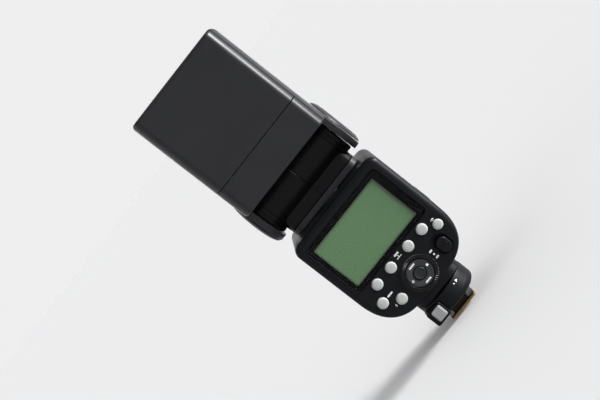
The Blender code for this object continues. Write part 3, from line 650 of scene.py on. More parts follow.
def make_head_shell():
    height = HEAD_TOP - HEAD_BOTTOM
    shell = slab("head_case", head_section(), height, (0, 0, HEAD_BOTTOM), near=0.0010, far=(0.0012, 0.0020))
    hollow = slab("hollow", head_section(HEAD_WALL), height, (0, 0, HEAD_BOTTOM + 0.0020))
    rear = block("rear", (-0.04, -0.04, 0.12), (0.04, COVER_PLANE, 0.21))
    mouth = block("mouth", (-EAR_INNER + 0.0001, 0.0150, 0.12), (EAR_INNER - 0.0001, 0.0300, 0.1370))
    barrel_room, room_end = circle((AXLE.y, AXLE.z), BARREL_RADIUS + 0.0007, 96), EAR_INNER - 0.0002
    room = slab("room", barrel_room, 2 * room_end, (-room_end, 0, 0), RIGHT)
    carve(shell, hollow, rear, mouth, room)
    trim_top_corners(shell)
    weld(shell, make_ear("left_ear", -1), make_ear("right_ear", 1))
    carve(shell, slab("axle_hole", circle((AXLE.y, AXLE.z), AXLE_HOLE, 32), 0.08, (-0.04, 0, 0), RIGHT))
    return dress(shell, "charcoal_plastic", "head", "head_shell", slot="black_plastic")


print("head shell faces", len(make_head_shell().data.polygons))

# %% [markdown]
# The rear cover and the narrow band below it are one wall wrapped round the back of the head, with a fine
# seam between them. Both are stacks of the same open-ended wall outline. Toward the top the outer side leans
# in on a quarter of an ellipse, so the cover ends in a soft brow, and at the seams both edges are broken by
# a small radius that catches a thin line of light.

# %% Rear cover and band
SEAM_EDGE = 0.00035


def rear_arc(inset, front, steps=14):
    """The line of the head's rear wall from its left end to its right end, moved in by inset."""
    radii = (REAR_CORNER[0] - inset, REAR_CORNER[1] - inset)
    centre = (HEAD_HALF - REAR_CORNER[0], HEAD_REAR + REAR_CORNER[1])
    start = asin((centre[1] - front) / radii[1])
    angles = [start + (pi / 2 - start) * k / steps for k in range(steps + 1)]
    right = [(centre[0] + radii[0] * cos(a), centre[1] - radii[1] * sin(a)) for a in angles]
    return [(-x, y) for x, y in right] + right[::-1]


def wall_outline(inset, front=COVER_PLANE - GAP):
    """The rear wall seen from above, with its two seam edges broken."""
    lip = rear_arc(inset + 0.7 * SEAM_EDGE, front)
    outer = rear_arc(inset, front - SEAM_EDGE)
    inner = rear_arc(HEAD_WALL, front)
    return [lip[0], *outer, lip[-1], *inner[::-1]]


def wall_rings(low, high, low_edge, high_edge):
    """Levels of the wall from low to high, with (inset, depth) of the rounding at either end."""
    steps = []
    ends = ((low, 1, low_edge, ROUND_ANGLES), (high, -1, high_edge, ROUND_ANGLES[::-1]))
    for base, way, (reach, depth), angles in ends:
        steps += [(base + way * depth * (1 - cos(a)), reach * (1 - sin(a))) for a in angles]
    return [[(x, y, height) for x, y in wall_outline(inset)] for height, inset in steps]


seam = (0.8 * SEAM_EDGE, SEAM_EDGE)
cover = stack("rear_cover", wall_rings(COVER_LOW.z, COVER_HIGH.z, seam, (0.0014, 0.0026)))
trim_top_corners(cover)
dress(cover, "charcoal_plastic", "head", "head_rear_cover")
band = stack("rear_band", wall_rings(BAND_LOW.z, BAND_HIGH.z, (0.0009, 0.0009), seam))
FLOOR_HALF, FLOOR_THICK = 0.0300, 0.0020
plate_low = (-FLOOR_HALF, HEAD_REAR + 0.0015, BAND_LOW.z + 0.0001)
plate_high = (FLOOR_HALF, COVER_PLANE - GAP, plate_low[2] + FLOOR_THICK)
weld(band, block("floor_plate", plate_low, plate_high))
dress(band, "charcoal_plastic", "head", "head_rear_band")
print("cover and band", [round(1000 * (top.z - base.z), 1) for top, base in (
    (COVER_HIGH, COVER_LOW), (BAND_HIGH, BAND_LOW))], "mm high")

# %% [markdown]
# ## Ear caps
# A round cap hides each end of the tilt axle and swells out of the side of the ear. It is turned: a low dome
# with a tight shoulder, and a shallow groove part of the way in, which makes it read as a piece of its own.

# %% Ear caps
def make_ear_cap(name, node, side):
    low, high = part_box(node)
    radius = (high.z - low.z) / 2
    proud = high.x - low.x
    profile = [
        (radius - 0.0001, 0.0), (radius, 0.0001), (radius - 0.0001, 0.0005), (radius - 0.0005, 0.0009),
        (radius - 0.0013, proud - 0.0009), (radius - 0.0024, proud - 0.0005),
        (radius - 0.0034, proud - 0.00025), (radius - 0.0036, proud - 0.0005),
        (radius - 0.0039, proud - 0.0005), (radius - 0.0041, proud - 0.0002),
        (radius * 0.55, proud - 0.00004), (radius * 0.2, proud),
    ]
    inner = low.x if side > 0 else high.x
    cap = turned(name, profile, (inner, AXLE.y, AXLE.z), RIGHT if side > 0 else LEFT, 96)
    return dress(cap, "charcoal_plastic", "head", node, slot="black_plastic")


make_ear_cap("left_cap", "ear_cap_left", -1)
make_ear_cap("right_cap", "ear_cap_right", 1)

# %% [markdown]
# ## The lamp's window
# The Fresnel lens squeezes a thick lens into a thin sheet: its surface is cut into stepped grooves. They run
# across this one in straight lines, and are modelled for real, because they are what the eye sees in the
# window. A bezel with a stepped lip holds the sheet.

# %% Lens and bezel
BEZEL_LOW, BEZEL_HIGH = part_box("lens_bezel")
LENS_LOW, LENS_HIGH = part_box("fresnel_lens")


def make_bezel():
    outline = soft_rectangle(BEZEL_LOW.x, BEZEL_HIGH.x, BEZEL_LOW.y, BEZEL_HIGH.y, 0.0038)
    bezel = slab("lamp_bezel", outline, BEZEL_HIGH.z - BEZEL_LOW.z, (0, 0, BEZEL_LOW.z), far=0.0005)
    lip = moved_in(outline, 0.0030)
    opening = stack("opening", levels(
        lip, (BEZEL_LOW.z - 0.001, 0.0), (LENS_HIGH.z + 0.0004, 0.0), (BEZEL_HIGH.z - 0.0004, -0.0006),
        (BEZEL_HIGH.z + 0.0005, -0.0018)))
    (left, rear, _), (right, front, _), room = LENS_LOW, LENS_HIGH, 0.0004
    seat = soft_rectangle(left - room, right + room, rear - room, front + room, 0.0030)
    carve(bezel, opening, slab("seat", seat, 0.02, (0, 0, LENS_HIGH.z + GAP - 0.02)))
    return dress(bezel, "black_gloss", "head", "lens_bezel")


def make_lens(pitch=0.0011, groove=0.0005, riser=0.00004):
    """A sheet whose top is a row of fine ridges: its side view is drawn, and given the window's width."""
    low, high = LENS_LOW, LENS_HIGH
    count = int((high.y - low.y) / pitch)
    step = (high.y - low.y) / count
    top = []
    for i in range(count):
        slope = -1 if i < count / 2 else 1
        first, last = (groove, 0.0) if slope < 0 else (0.0, groove)
        top += [(low.y + i * step, high.z - first), (low.y + (i + 1) * step - riser, high.z - last)]
    side_view = [(low.y, low.z), (high.y - riser, low.z)] + top[::-1]
    sheet = slab("fresnel_sheet", side_view, high.x - low.x, (low.x, 0, 0), RIGHT)
    return dress(sheet, "clear_plastic", "head", "fresnel_lens")


make_bezel()
print("lens faces", len(make_lens().data.polygons))

# %% [markdown]
# The bounce card and the wide-angle panel slide out of the slot behind the lens. The card has a notch at its
# free end for a fingernail. The panel spreads the light with fine ribs, so here a row of shallow grooves is
# cut across it, all by one cutter.

# %% Card and panel
def make_card():
    low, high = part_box("bounce_card")
    outline = soft_rectangle(low.x, high.x, low.z, high.z, 0.0022)
    card = slab("bounce_card_sheet", outline, high.y - low.y, (0, high.y, 0), REAR, near=0.00025, far=0.00025)
    notch = soft_rectangle(-0.0070, 0.0070, high.z - 0.0011, high.z + 0.01, 0.0010)
    carve(card, slab("notch", notch, 0.01, (0, high.y + 0.002, 0), REAR))
    return dress(card, "white_plastic", "bounce_card", "bounce_card")


def make_panel(pitch=0.0020):
    low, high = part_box("wide_panel")
    outline = soft_rectangle(low.x, high.x, low.z, high.z, 0.0022)
    panel = slab("wide_angle_sheet", outline, high.y - low.y, (0, high.y, 0), REAR, near=0.0002, far=0.0002)
    grooves = bmesh.new()
    cut, face, margin = 0.0003, high.y + 0.00002, 0.004
    diamond = [(-cut, 0.0), (0.0, -cut), (cut, 0.0), (0.0, cut)]
    for i in range(int((high.x - low.x - margin) / pitch)):
        x = low.x + 0.003 + pitch * i
        rings = [[(x + a, face + b, z) for a, b in diamond] for z in (low.z + margin, high.z - margin)]
        add_stack(grooves, rings, placed(UP, (0, 0, 0)))
    carve(panel, new_piece("grooves", grooves))
    return dress(panel, "clear_plastic", "wide_panel", "wide_panel")


print("card faces", len(make_card().data.polygons), "panel faces", len(make_panel().data.polygons))

# %% [markdown]
# ## The neck
# The neck is two clamshell halves that meet on a line down the middle. Each has half of the hinge barrel,
# half of the pedestal below it, and fine rings turned into the barrel near its end. It is glossier than the
# case, because hands polish it. The halves stop just short of the middle, and that is the dark split line.

# %% Neck halves
PLATE_LOW, PLATE_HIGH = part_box("neck_base")
PEDESTAL_HALF, PEDESTAL_REAR, PEDESTAL_FRONT = PLATE_HIGH.x, PLATE_LOW.y, PLATE_HIGH.y
PEDESTAL_RADIUS = 0.0060
NECK_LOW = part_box("neck_right_half")[0].z
BARREL_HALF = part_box("neck_right_half")[1].x
NECK_WALL = 0.002
NECK_BORE = 0.0053
SPLIT = 0.00015  # from the middle to either half
SHAFT_TOP = AXLE.z - 0.008


def barrel_profile():
    """Radius and distance from the split: two turned rings, and a rounded end."""
    radius, long = BARREL_RADIUS, BARREL_HALF - SPLIT
    ring = 0.00028
    profile = [(radius - 0.00015, 0.0), (radius, 0.00015)]
    for place in (long - 0.0052, long - 0.0026):
        profile += [(radius, place - 0.00025), (radius - ring, place - 0.0001)]
        profile += [(radius - ring, place + 0.0001), (radius, place + 0.00025)]
    profile += [(radius, long - 0.0010), (radius - 0.00008, long - 0.0006), (radius - 0.0003, long - 0.0003),
                (radius - 0.0006, long - 0.00008), (radius - 0.0010, long)]
    return profile


def make_neck_half(name, node, side):
    facing = RIGHT if side > 0 else LEFT
    past = side * -0.001  # cutters start a little beyond the split
    half = turned(name, barrel_profile(), (side * SPLIT, AXLE.y, AXLE.z), facing, 128)
    corner, sharp = (PEDESTAL_RADIUS, PEDESTAL_RADIUS), (0.0, 0.0)
    corners = [sharp, corner, corner, sharp] if side > 0 else [corner, sharp, sharp, corner]
    left, right = sorted((side * SPLIT, side * PEDESTAL_HALF))
    outline = soft_rectangle(left, right, PEDESTAL_REAR, PEDESTAL_FRONT, corners, 12)
    weld(half, slab("pedestal", outline, 0.0100, (0, 0, NECK_LOW), near=0.0004))
    left, right = sorted((past, side * (PEDESTAL_HALF - NECK_WALL)))
    shaft_low = (left, PEDESTAL_REAR + NECK_WALL, NECK_LOW - 0.001)
    shaft = block("shaft", shaft_low, (right, PEDESTAL_FRONT - NECK_WALL, SHAFT_TOP))
    axis = (side * AXLE.y, AXLE.z)
    inside = slab(
        "inside", circle(axis, BARREL_RADIUS - NECK_WALL), BARREL_HALF - NECK_WALL, (past, 0, 0), facing
    )
    bore = slab("bore", circle(axis, NECK_BORE, 32), 0.04, (0, 0, 0), facing)
    carve(half, inside, bore, shaft)
    return dress(half, "neck_black", "neck", node, slot="black_gloss")


def make_neck_tongue(wide=0.0020, thick=0.0006, spare=0.0001):
    """A hidden strip behind the split line, as a lip on one half that keeps light and dust out."""
    outer = BARREL_RADIUS - NECK_WALL - spare
    low, high = NECK_LOW + 0.0002, AXLE.z - 0.0095
    rear, front = PEDESTAL_REAR + NECK_WALL + spare, PEDESTAL_FRONT - NECK_WALL - spare
    profile = [(outer - thick, 0), (outer - thick, wide), (outer, wide), (outer, 0)]
    tongue = turned("neck_tongue", profile, (-wide / 2, AXLE.y, AXLE.z), RIGHT, 96, ring=True)
    carve(tongue, block("way_down", (-0.01, rear, 0.09), (0.01, front, SHAFT_TOP)))
    walls = [block("wall", (-wide / 2, y, low), (wide / 2, y + thick, high)) for y in (rear, front - thick)]
    weld(tongue, *walls)
    return dress(tongue, "neck_black", "neck", slot="black_gloss")


finish("neck_black", (0.0024, 0.0024, 0.0028), 0.27, depth=0.000006, spread=0.03, Specular_IOR_Level=0.10)
make_neck_half("left_neck", "neck_left_half", -1)
make_neck_half("right_neck", "neck_right_half", 1)
make_neck_tongue()

# %% Neck plate and spigot
PLATE_THICK = 0.0036
BASE_LOW = NECK_LOW - GAP - PLATE_THICK
base_outline = soft_rectangle(
    -PEDESTAL_HALF, PEDESTAL_HALF, PEDESTAL_REAR, PEDESTAL_FRONT, PEDESTAL_RADIUS, 12
)
base = slab("neck_plate", base_outline, PLATE_THICK, (0, 0, BASE_LOW), near=0.0005, far=0.0004)
spigot = turned("spigot", [(0.0099, -0.0075), (0.0100, -0.0074), (0.0100, 0.002), (0.0090, 0.002)],
                (0, AXLE.y, BASE_LOW), UP, 48)
weld(base, spigot)
carve(base, turned("wire_way", [(0.0075, -0.01), (0.0075, 0.01)], (0, AXLE.y, BASE_LOW), UP, 32))
dress(base, "charcoal_plastic", "neck", "neck_base")
print("neck plate sits at", round(BASE_LOW, 4))

# %% [markdown]
# ## The body's cases
# The body is a box with a flat top, straight sides and two full lower corners that sweep in to the foot. The
# rear case is the face of the flash: its edge is a soft roll at the sides and the top, which tightens round
# the lower corners. The roll's size is a function of the height, and the rings of the stack follow it.

# %% Sizes of the body
CASE_LOW, CASE_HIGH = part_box("rear_case")
BODY_HALF = CASE_HIGH.x
BODY_REAR = CASE_LOW.y
BODY_SPLIT = CASE_HIGH.y
BODY_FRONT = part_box("front_case")[1].y
BODY_BOTTOM, BODY_TOP = CASE_LOW.z, CASE_HIGH.z
BODY_CORNER_Z = 0.0480
BODY_FLAT = 0.0100
BODY_POWER = 2.4
TOP_RADIUS = 0.0050
WALL = 0.0020
print("body", round(2000 * BODY_HALF, 1), "mm wide,", round(1000 * (BODY_TOP - BODY_BOTTOM), 1), "mm high")


# %% Body outline and its rolled edge
def body_outline(left=0.0, right=0.0, low=0.0, high=0.0, steps=16):
    """The body seen from behind, each side moved in by the distance given."""
    corner = BODY_CORNER_Z - BODY_BOTTOM - low
    left_width, right_width = BODY_HALF - left, BODY_HALF - right
    radius, top = TOP_RADIUS - high, BODY_TOP - high
    return without_repeats(
        quarter((-BODY_FLAT, BODY_CORNER_Z), (left_width - BODY_FLAT, corner), 2, steps, BODY_POWER)
        + quarter((BODY_FLAT, BODY_CORNER_Z), (right_width - BODY_FLAT, corner), 3, steps, BODY_POWER)
        + quarter((right_width - radius, top - radius), (radius, radius), 0, 8)
        + quarter((-left_width + radius, top - radius), (radius, radius), 1, 8)
    )


def body_half_width(height, inset):
    """How far the body's side stands from the middle at a height, moved in by inset."""
    width = BODY_HALF - inset
    if height >= BODY_CORNER_Z:
        return width
    down = (BODY_CORNER_Z - height) / (BODY_CORNER_Z - BODY_BOTTOM - inset)
    return BODY_FLAT + (width - BODY_FLAT) * (1 - down**BODY_POWER) ** (1 / BODY_POWER)


def roll_size(point, slack=0.0013, full=0.0036):
    """The roll of the rear edge at a point of the outline: tight at the bottom, full at the sides."""
    share = min(1.0, max(0.0, (point.y - BODY_BOTTOM) / (BODY_CORNER_Z - BODY_BOTTOM)))
    return slack + (full - slack) * share * share * (3 - 2 * share)


# %% [markdown]
# The panel has many openings, and each has a small chamfer where it meets the face, as a mould leaves. So a
# cutter is a stack too: straight through the wall, then flared just at the surface. A thin raised rim
# surrounds the display and the switch.

# %% Rear case
DISPLAY_LOW, DISPLAY_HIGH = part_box("display_window")
KEY_NAMES = ["soft_key_1", "soft_key_2", "soft_key_3", "soft_key_4", "wireless_key", "menu_key", "test_key"]
KEY_FLANGE = 0.0008  # how far a key's hidden flange stands out past its cap
DIAL = middle("dial_ring")
DIAL_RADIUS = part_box("dial_ring")[1].z - DIAL.z
DIAL_STEM = 0.0083
SWITCH = Vector((0.0196, 0.0, 0.0343))
SWITCH_WIDE, SWITCH_TALL = 0.0091, 0.0121
PANEL_GAP = 0.0003


def panel_opening(name, outline, flare=0.0003):
    """A cutter through the rear panel, flared where it meets the face."""
    lip = 0.3 * flare
    rings = levels(outline, (-0.0035, 0.0), (-flare, 0.0), (-lip, -lip), (0.0, -flare), (0.002, -flare))
    return stack(name, rings, (0, BODY_REAR, 0), REAR)


def key_shape(name):
    """Centre and radius of a key's cap, which stands on a wider hidden flange."""
    low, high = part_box(name)
    return (low + high) / 2, (high.z - low.z) / 2 - KEY_FLANGE


def switch_outline(inset=0.0):
    wide, tall = SWITCH_WIDE / 2 - inset, SWITCH_TALL / 2 - inset
    left, right, low, high = SWITCH.x - wide, SWITCH.x + wide, SWITCH.z - tall, SWITCH.z + tall
    return soft_rectangle(left, right, low, high, wide - 0.0001, 10)


def display_outline(inset=0.0):
    return soft_rectangle(
        DISPLAY_LOW.x + inset, DISPLAY_HIGH.x - inset, DISPLAY_LOW.z + inset, DISPLAY_HIGH.z - inset,
        max(0.0006, 0.0025 - inset), 8,
    )


def raised_rim(name, outline, out, proud=0.00025):
    """A thin rim that follows an opening, rooted a little below the face."""
    root, soft = -0.0008, 0.0001
    rings = levels(
        outline, (root, 0.0), (root, -out), (0.0, -out), (proud, soft - out), (proud, -soft),
        (proud - soft, 0.0),
    )
    return stack(name, rings, (0, BODY_REAR, 0), REAR, loop=True)


def make_rear_case():
    depth, past = BODY_SPLIT - BODY_REAR, 0.001
    roll = (roll_size, 0.0030)
    case = slab("rear_shell", body_outline(), depth, (0, BODY_SPLIT, 0), REAR, near=0.0002, far=roll)
    inside = body_outline(WALL, WALL, WALL, WALL)
    carve(case, slab("hollow", inside, depth - WALL + past, (0, BODY_SPLIT + past, 0), REAR))
    round_display = display_outline(-PANEL_GAP)
    display_rim = raised_rim("display_rim", round_display, 0.0006)
    weld(case, display_rim, raised_rim("switch_rim", switch_outline(), 0.0005))
    cutters = [panel_opening("display_opening", round_display, 0.0002)]
    for name in KEY_NAMES:
        centre, radius = key_shape(name)
        hole = circle((centre.x, centre.z), radius + PANEL_GAP)
        cutters.append(panel_opening(name + "_hole", hole, 0.00045))
    dial_hole = circle((DIAL.x, DIAL.z), DIAL_STEM + PANEL_GAP, 64)
    cutters.append(panel_opening("dial_hole", dial_hole, 0.0001))
    cutters.append(panel_opening("switch_hole", switch_outline(), 0.0002))
    carve(case, *cutters)
    return dress(case, "black_plastic", "root", "rear_case")


print("rear case faces", len(make_rear_case().data.polygons))

# %% [markdown]
# The front case holds the batteries on one side and the connectors on the other. Its front edge is rolled all
# round. The door slides in a shallow recess, and the opening behind it shows the battery bay.

# %% Front case
DOOR_LOW, DOOR_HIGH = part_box("battery_door")
DOOR_THICK = 0.0018
DOOR_WALL = 0.0036  # the wall that the door's recess is cut in
BAY_LOW, BAY_HIGH = (0.0240, -0.0046, 0.0322), (0.0400, 0.0260, 0.0612)
SWIVEL_HOLE = 0.0103


def side_strip(low, high, outer, inner, steps=16):
    """The body's right wall seen from behind, between two heights and from one depth in it to another."""
    heights = [low + (high - low) * step / steps for step in range(steps + 1)]
    outside = [(body_half_width(z, outer), z) for z in heights]
    inside = [(body_half_width(z, inner), z) for z in reversed(heights)]
    return outside + inside


def make_front_case():
    depth, roll = BODY_FRONT - BODY_SPLIT - GAP, (0.0048, 0.0052)
    case = slab("front_shell", body_outline(), depth, (0, BODY_FRONT, 0), REAR, near=roll, far=0.0002)
    inside = body_outline(WALL, DOOR_WALL, WALL, WALL)
    hollow = slab("hollow", inside, depth, (0, BODY_FRONT - 0.0025, 0), REAR)
    round_door = side_strip(DOOR_LOW.z - 0.0005, DOOR_HIGH.z + 0.0008, -0.001, DOOR_THICK + 0.0005)
    front = DOOR_HIGH.y + GAP
    recess = slab("recess", round_door, front - BODY_SPLIT + 0.0005, (0, front, 0), REAR)
    opening = block("opening", BAY_LOW, BAY_HIGH)
    swivel = turned("swivel", [(SWIVEL_HOLE, 0.0), (SWIVEL_HOLE, 0.02)], (0, AXLE.y, BODY_TOP - 0.01), UP)
    port_low, port_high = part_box("port_cover")
    ports_low = (-0.04, port_low.y - GAP, port_low.z - GAP)
    ports = block("ports", ports_low, (-0.03, port_high.y + GAP, port_high.z + GAP))
    cutters = [hollow, recess, opening, swivel, ports]
    for name, radius in (("focus_assist_window", 0.0033), ("sensor_window", 0.0043)):
        low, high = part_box(name)
        outline = soft_rectangle(low.x - GAP, high.x + GAP, low.z - GAP, high.z + GAP, radius, 12)
        cutters.append(slab(name + "_hole", outline, 0.008, (0, 0.036, 0), REAR))
    carve(case, *cutters)
    return dress(case, "black_plastic", "root", "front_case")


print("front case faces", len(make_front_case().data.polygons))

# %% [markdown]
# The battery door is a strip of the body's own side wall. A thumb pushes it to the rear and then lifts it, so
# it has a patch of ribs to push on, each a low rounded bar, and a plain arrowhead that shows the way. The
# port cover opposite is soft rubber, with a lip to catch a nail on and a fold line along its hinge.

# %% Battery door and port cover
RIB_LOW, RIB_PITCH, RIB_COUNT = 0.0500, 0.0013, 7


def make_door():
    edge, length = 0.0004, DOOR_HIGH.y - DOOR_LOW.y
    strip = side_strip(DOOR_LOW.z, DOOR_HIGH.z, 0.0, DOOR_THICK)
    door = slab("battery_door_skin", strip, length, (0, DOOR_HIGH.y, 0), REAR, near=edge, far=edge)
    hinge = middle("door_hinge_pin")
    carve(door, slab("bore", circle((hinge.x, hinge.z), 0.00055, 16), 0.06, (0, 0.04, 0), REAR))
    ribs = bmesh.new()
    for i in range(RIB_COUNT):
        z = RIB_LOW + RIB_PITCH * i
        bar = soft_rectangle(0.0020, 0.0170, z - 0.0003, z + 0.0003, 0.0003, 3)
        add_stack(ribs, slab_rings(bar, 0.0009, far=0.00025), placed(RIGHT, (BODY_HALF - 0.0006, 0, 0)))
    weld(door, new_piece("ribs", ribs))
    dress(door, "black_plastic", "battery_door", "battery_door")
    arrow = [(0.0226, 0.0553), (0.0196, 0.0539), (0.0226, 0.0525)]
    return inked("door_arrow", [arrow], (BODY_HALF - 0.00004, 0, 0), RIGHT, "battery_door")


def make_port_cover():
    low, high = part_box("port_cover")
    thick = high.x - low.x
    outline = soft_rectangle(-high.y, -low.y, low.z, high.z, 0.0022)
    cover = slab("port_flap", outline, thick, (high.x, 0, 0), LEFT, far=0.0005)
    lip = soft_rectangle(-low.y - 0.0030, -low.y - 0.0008, low.z + 0.006, high.z - 0.006, 0.0010)
    fold = soft_rectangle(-high.y + 0.0012, -high.y + 0.0018, low.z + 0.002, high.z - 0.002, 0.00029)
    weld(cover, slab("lip", lip, 0.0011, (high.x - thick + 0.0003, 0, 0), LEFT, far=0.0004))
    carve(cover, slab("fold", fold, 0.002, (low.x + 0.0004, 0, 0), LEFT))
    dress(cover, "rubber", "port_cover", "port_cover")
    centre, half, proud, root, wide = (high.z + low.z) / 2, 0.0016, 0.00015, -0.0002, 0.0004
    sockets = [circle((-0.0110, centre), 0.0030, 32)]
    sockets.append(soft_rectangle(-0.0215, -0.0155, centre - half, centre + half, 0.0012))
    build = bmesh.new()
    for socket in sockets:
        rings = levels(socket, (root, 0.0), (proud, 0.0), (proud, wide), (root, wide))
        add_stack(build, rings, placed(LEFT, (low.x, 0, 0)), loop=True)
    return dress(new_piece("port_flap_outlines", build), "rubber", "port_cover")


make_door()
make_port_cover()
print("door skin is", DOOR_THICK * 1000, "mm thick")

# %% [markdown]
# The windows on the front are tinted red acrylic with a rolled edge. A row of grooves behind the larger one
# spreads the focusing beam.

# %% Front windows
def make_front_window(name, node, crown=0.0006, ribs=0):
    low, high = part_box(node)
    radius = min(0.0040, (high.z - low.z) / 2 - 0.00002)
    outline = soft_rectangle(low.x, high.x, low.z, high.z, 0.0030 if ribs else radius, 12)
    rings = levels(
        outline, (0.0, 0.0034), (-crown * 0.12, 0.0026), (-crown * 0.5, 0.0012), (-crown, 0.0003),
        (-crown - 0.0003, 0.0), (-0.0022, 0.0),
    )
    window = stack(name, rings, (0, low.y, 0), REAR)
    half, margin = 0.0004, 0.003
    for i in range(ribs):
        x = low.x + 0.004 + i * (high.x - low.x - 0.008) / (ribs - 1)
        groove_low = (x - half, high.y + half - 0.0010, low.z + margin)
        carve(window, block("groove", groove_low, (x + half, high.y + half, high.z - margin)))
    return dress(window, "red_window", "root", node)


make_front_window("focus_lamp_window", "focus_assist_window", ribs=9)
make_front_window("sensor_lens", "sensor_window")

# %% [markdown]
# ## The display
# Behind a clear pane lies a black printed frame, and inside it the liquid crystal panel. The frame's opening
# is drawn narrower on the right and at the top: the extra black there is a painted shadow, the shade that the
# recess's rim throws on the panel under light from the right. The pane is thin, so it is almost wholly
# transparent, and adds little but a faint gloss.

# %% Display
# the right and top edges of the lit area are moved in further, so the black frame stands in as a painted
# shadow there
LCD_LEFT, LCD_RIGHT = DISPLAY_LOW.x + 0.0022, DISPLAY_HIGH.x - 0.0046
LCD_LOW, LCD_HIGH = DISPLAY_LOW.z + 0.0025, DISPLAY_HIGH.z - 0.0031


def make_display():
    face = DISPLAY_LOW.y
    pane = slab("display_pane", display_outline(), 0.0006, (0, face + 0.0006, 0), REAR, far=0.0002)
    dress(pane, "display_glass", "root", "display_window")
    window = soft_rectangle(LCD_LEFT, LCD_RIGHT, LCD_LOW, LCD_HIGH, 0.0009, 4)
    mask = slab("display_mask", display_outline(), 0.0010, (0, face + 0.0017, 0), REAR, far=0.0001)
    funnel = levels(window, (-0.002, 0.0), (0.0004, 0.0), (0.0010, -0.0003), (0.002, -0.0008))
    carve(mask, stack("funnel", funnel, (0, face + 0.0017, 0), REAR))
    dress(mask, "black_gloss", "root")
    low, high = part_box("display_module")
    outline = soft_rectangle(low.x, high.x, low.z, high.z, 0.0006, 3)
    panel = slab("display_panel", outline, 0.0030, (0, face + 0.0044, 0), REAR, far=0.0002)
    make_lcd(Vector((LCD_LEFT, 0, LCD_LOW)), Vector((LCD_RIGHT, 0, LCD_HIGH)))
    return dress(panel, "lcd_green", "root", "display_module")


make_display()
print("lit area", [round(1000 * size, 1) for size in (LCD_RIGHT - LCD_LEFT, LCD_HIGH - LCD_LOW)], "mm")

# %% [markdown]
# ## Keys, dial and switch
# A key is a turned dome on a stem, with a flange behind the panel that keeps it in. The dial is a ring with
# radial ridges on its face, which is how a thumb turns it. Its face is a stack of circles whose height goes
# up and down once for each ridge, so the ridges are real and catch the light one by one.

# %% Keys
def make_key(node):
    centre, radius = key_shape(node)
    low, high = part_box(node)
    proud, back = BODY_REAR - low.y, BODY_REAR - high.y
    flange = radius + KEY_FLANGE
    profile = [
        (flange, back), (flange, back + 0.0007), (radius, back + 0.0007), (radius, proud - 0.0006),
        (radius - 0.00008, proud - 0.0004), (radius - 0.00025, proud - 0.00022),
        (radius - 0.0005, proud - 0.0001), (radius - 0.0009, proud - 0.00003),
        (radius * 0.55, proud + 0.00004), (radius * 0.25, proud + 0.00006),
    ]
    key = turned(node + "_cap", profile, (centre.x, BODY_REAR, centre.z), REAR, 56)
    return dress(key, "key_grey", node, node)


for key_name in KEY_NAMES:
    make_key(key_name)
print("keys", len(KEY_NAMES))

# %% [markdown]
# Real keys have words printed beside them. Plain signs stand in their places here: rows of small blocks for
# a word, a bolt for the test flash, waves for the wireless key, and a lock. Each sign is an outline, and all
# are printed in one white ink.

# %% Printed signs
def sign_bar(x, z, long, thick=0.00032):
    return soft_rectangle(x - long / 2, x + long / 2, z - thick / 2, z + thick / 2, 0.3 * min(long, thick), 2)


def sign_bolt(x, z, size=0.0011):
    points = [(0.25, 1.0), (-0.45, -0.1), (-0.02, -0.1), (-0.25, -1.0), (0.45, 0.2), (0.04, 0.2)]
    return [(x + a * size, z + b * size) for a, b in points]


def sign_wave(x, z, radius, thick=0.00026, spread=0.9):
    angles = [pi / 2 + spread * (k / 6 - 0.5) * 2 for k in range(7)]
    outer = [(x + (radius + thick / 2) * cos(a), z + (radius + thick / 2) * sin(a)) for a in angles]
    inner = [(x + (radius - thick / 2) * cos(a), z + (radius - thick / 2) * sin(a)) for a in reversed(angles)]
    return (outer + inner)[::-1]


def sign_blocks(x, z, count, pitch=0.00082, wide=0.00055, tall=0.00115):
    """A row of small upright blocks, in place of a printed word."""
    first = x - pitch * (count - 1) / 2
    return [sign_bar(first + pitch * i, z, wide, tall * (1.0 if i % 2 else 0.8)) for i in range(count)]


print("a row of five blocks is", round(1000 * (4 * 0.00082 + 0.00055), 1), "mm long")

# %% Dial, pad and set button
BACK = WALL + PANEL_GAP
DIAL_INNER = 0.0079
PAD_RADIUS = DIAL_INNER - PANEL_GAP
SET_RADIUS = 0.0034


def make_dial(ridges=54, points=8, height=0.00070):
    proud = BODY_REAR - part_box("dial_ring")[0].y
    stem, hook = DIAL_STEM, DIAL_STEM + 0.0006
    count = ridges * points

    def ring(radius, level, share):
        line = []
        for i in range(count):
            wave = max(0.0, cos(tau * i / points)) ** 0.6
            angle = tau * i / count
            line.append((radius * cos(angle), radius * sin(angle), level - share * height * (1 - wave)))
        return line

    rings = [
        ring(DIAL_INNER, proud - 0.0003, 0), ring(DIAL_INNER + 0.00015, proud - 0.0001, 0),
        ring(DIAL_INNER + 0.0003, proud - 0.00005, 0.1), ring(DIAL_INNER + 0.0005, proud, 1),
        ring(DIAL_RADIUS - 0.0008, proud, 1), ring(DIAL_RADIUS - 0.0004, proud - 0.00015, 1),
        ring(DIAL_RADIUS - 0.0001, proud - 0.00045, 0.6), ring(DIAL_RADIUS, proud - 0.0008, 0),
        ring(DIAL_RADIUS, GAP, 0), ring(stem, GAP, 0), ring(stem, -BACK, 0), ring(hook, -BACK, 0),
        ring(hook, -BACK - 0.0008, 0), ring(DIAL_INNER, -BACK - 0.0008, 0),
    ]
    dial = stack("dial_grip", rings, (DIAL.x, BODY_REAR, DIAL.z), REAR, loop=True)
    return dress(dial, "dial_black", "dial", "dial_ring", slot="black_plastic")


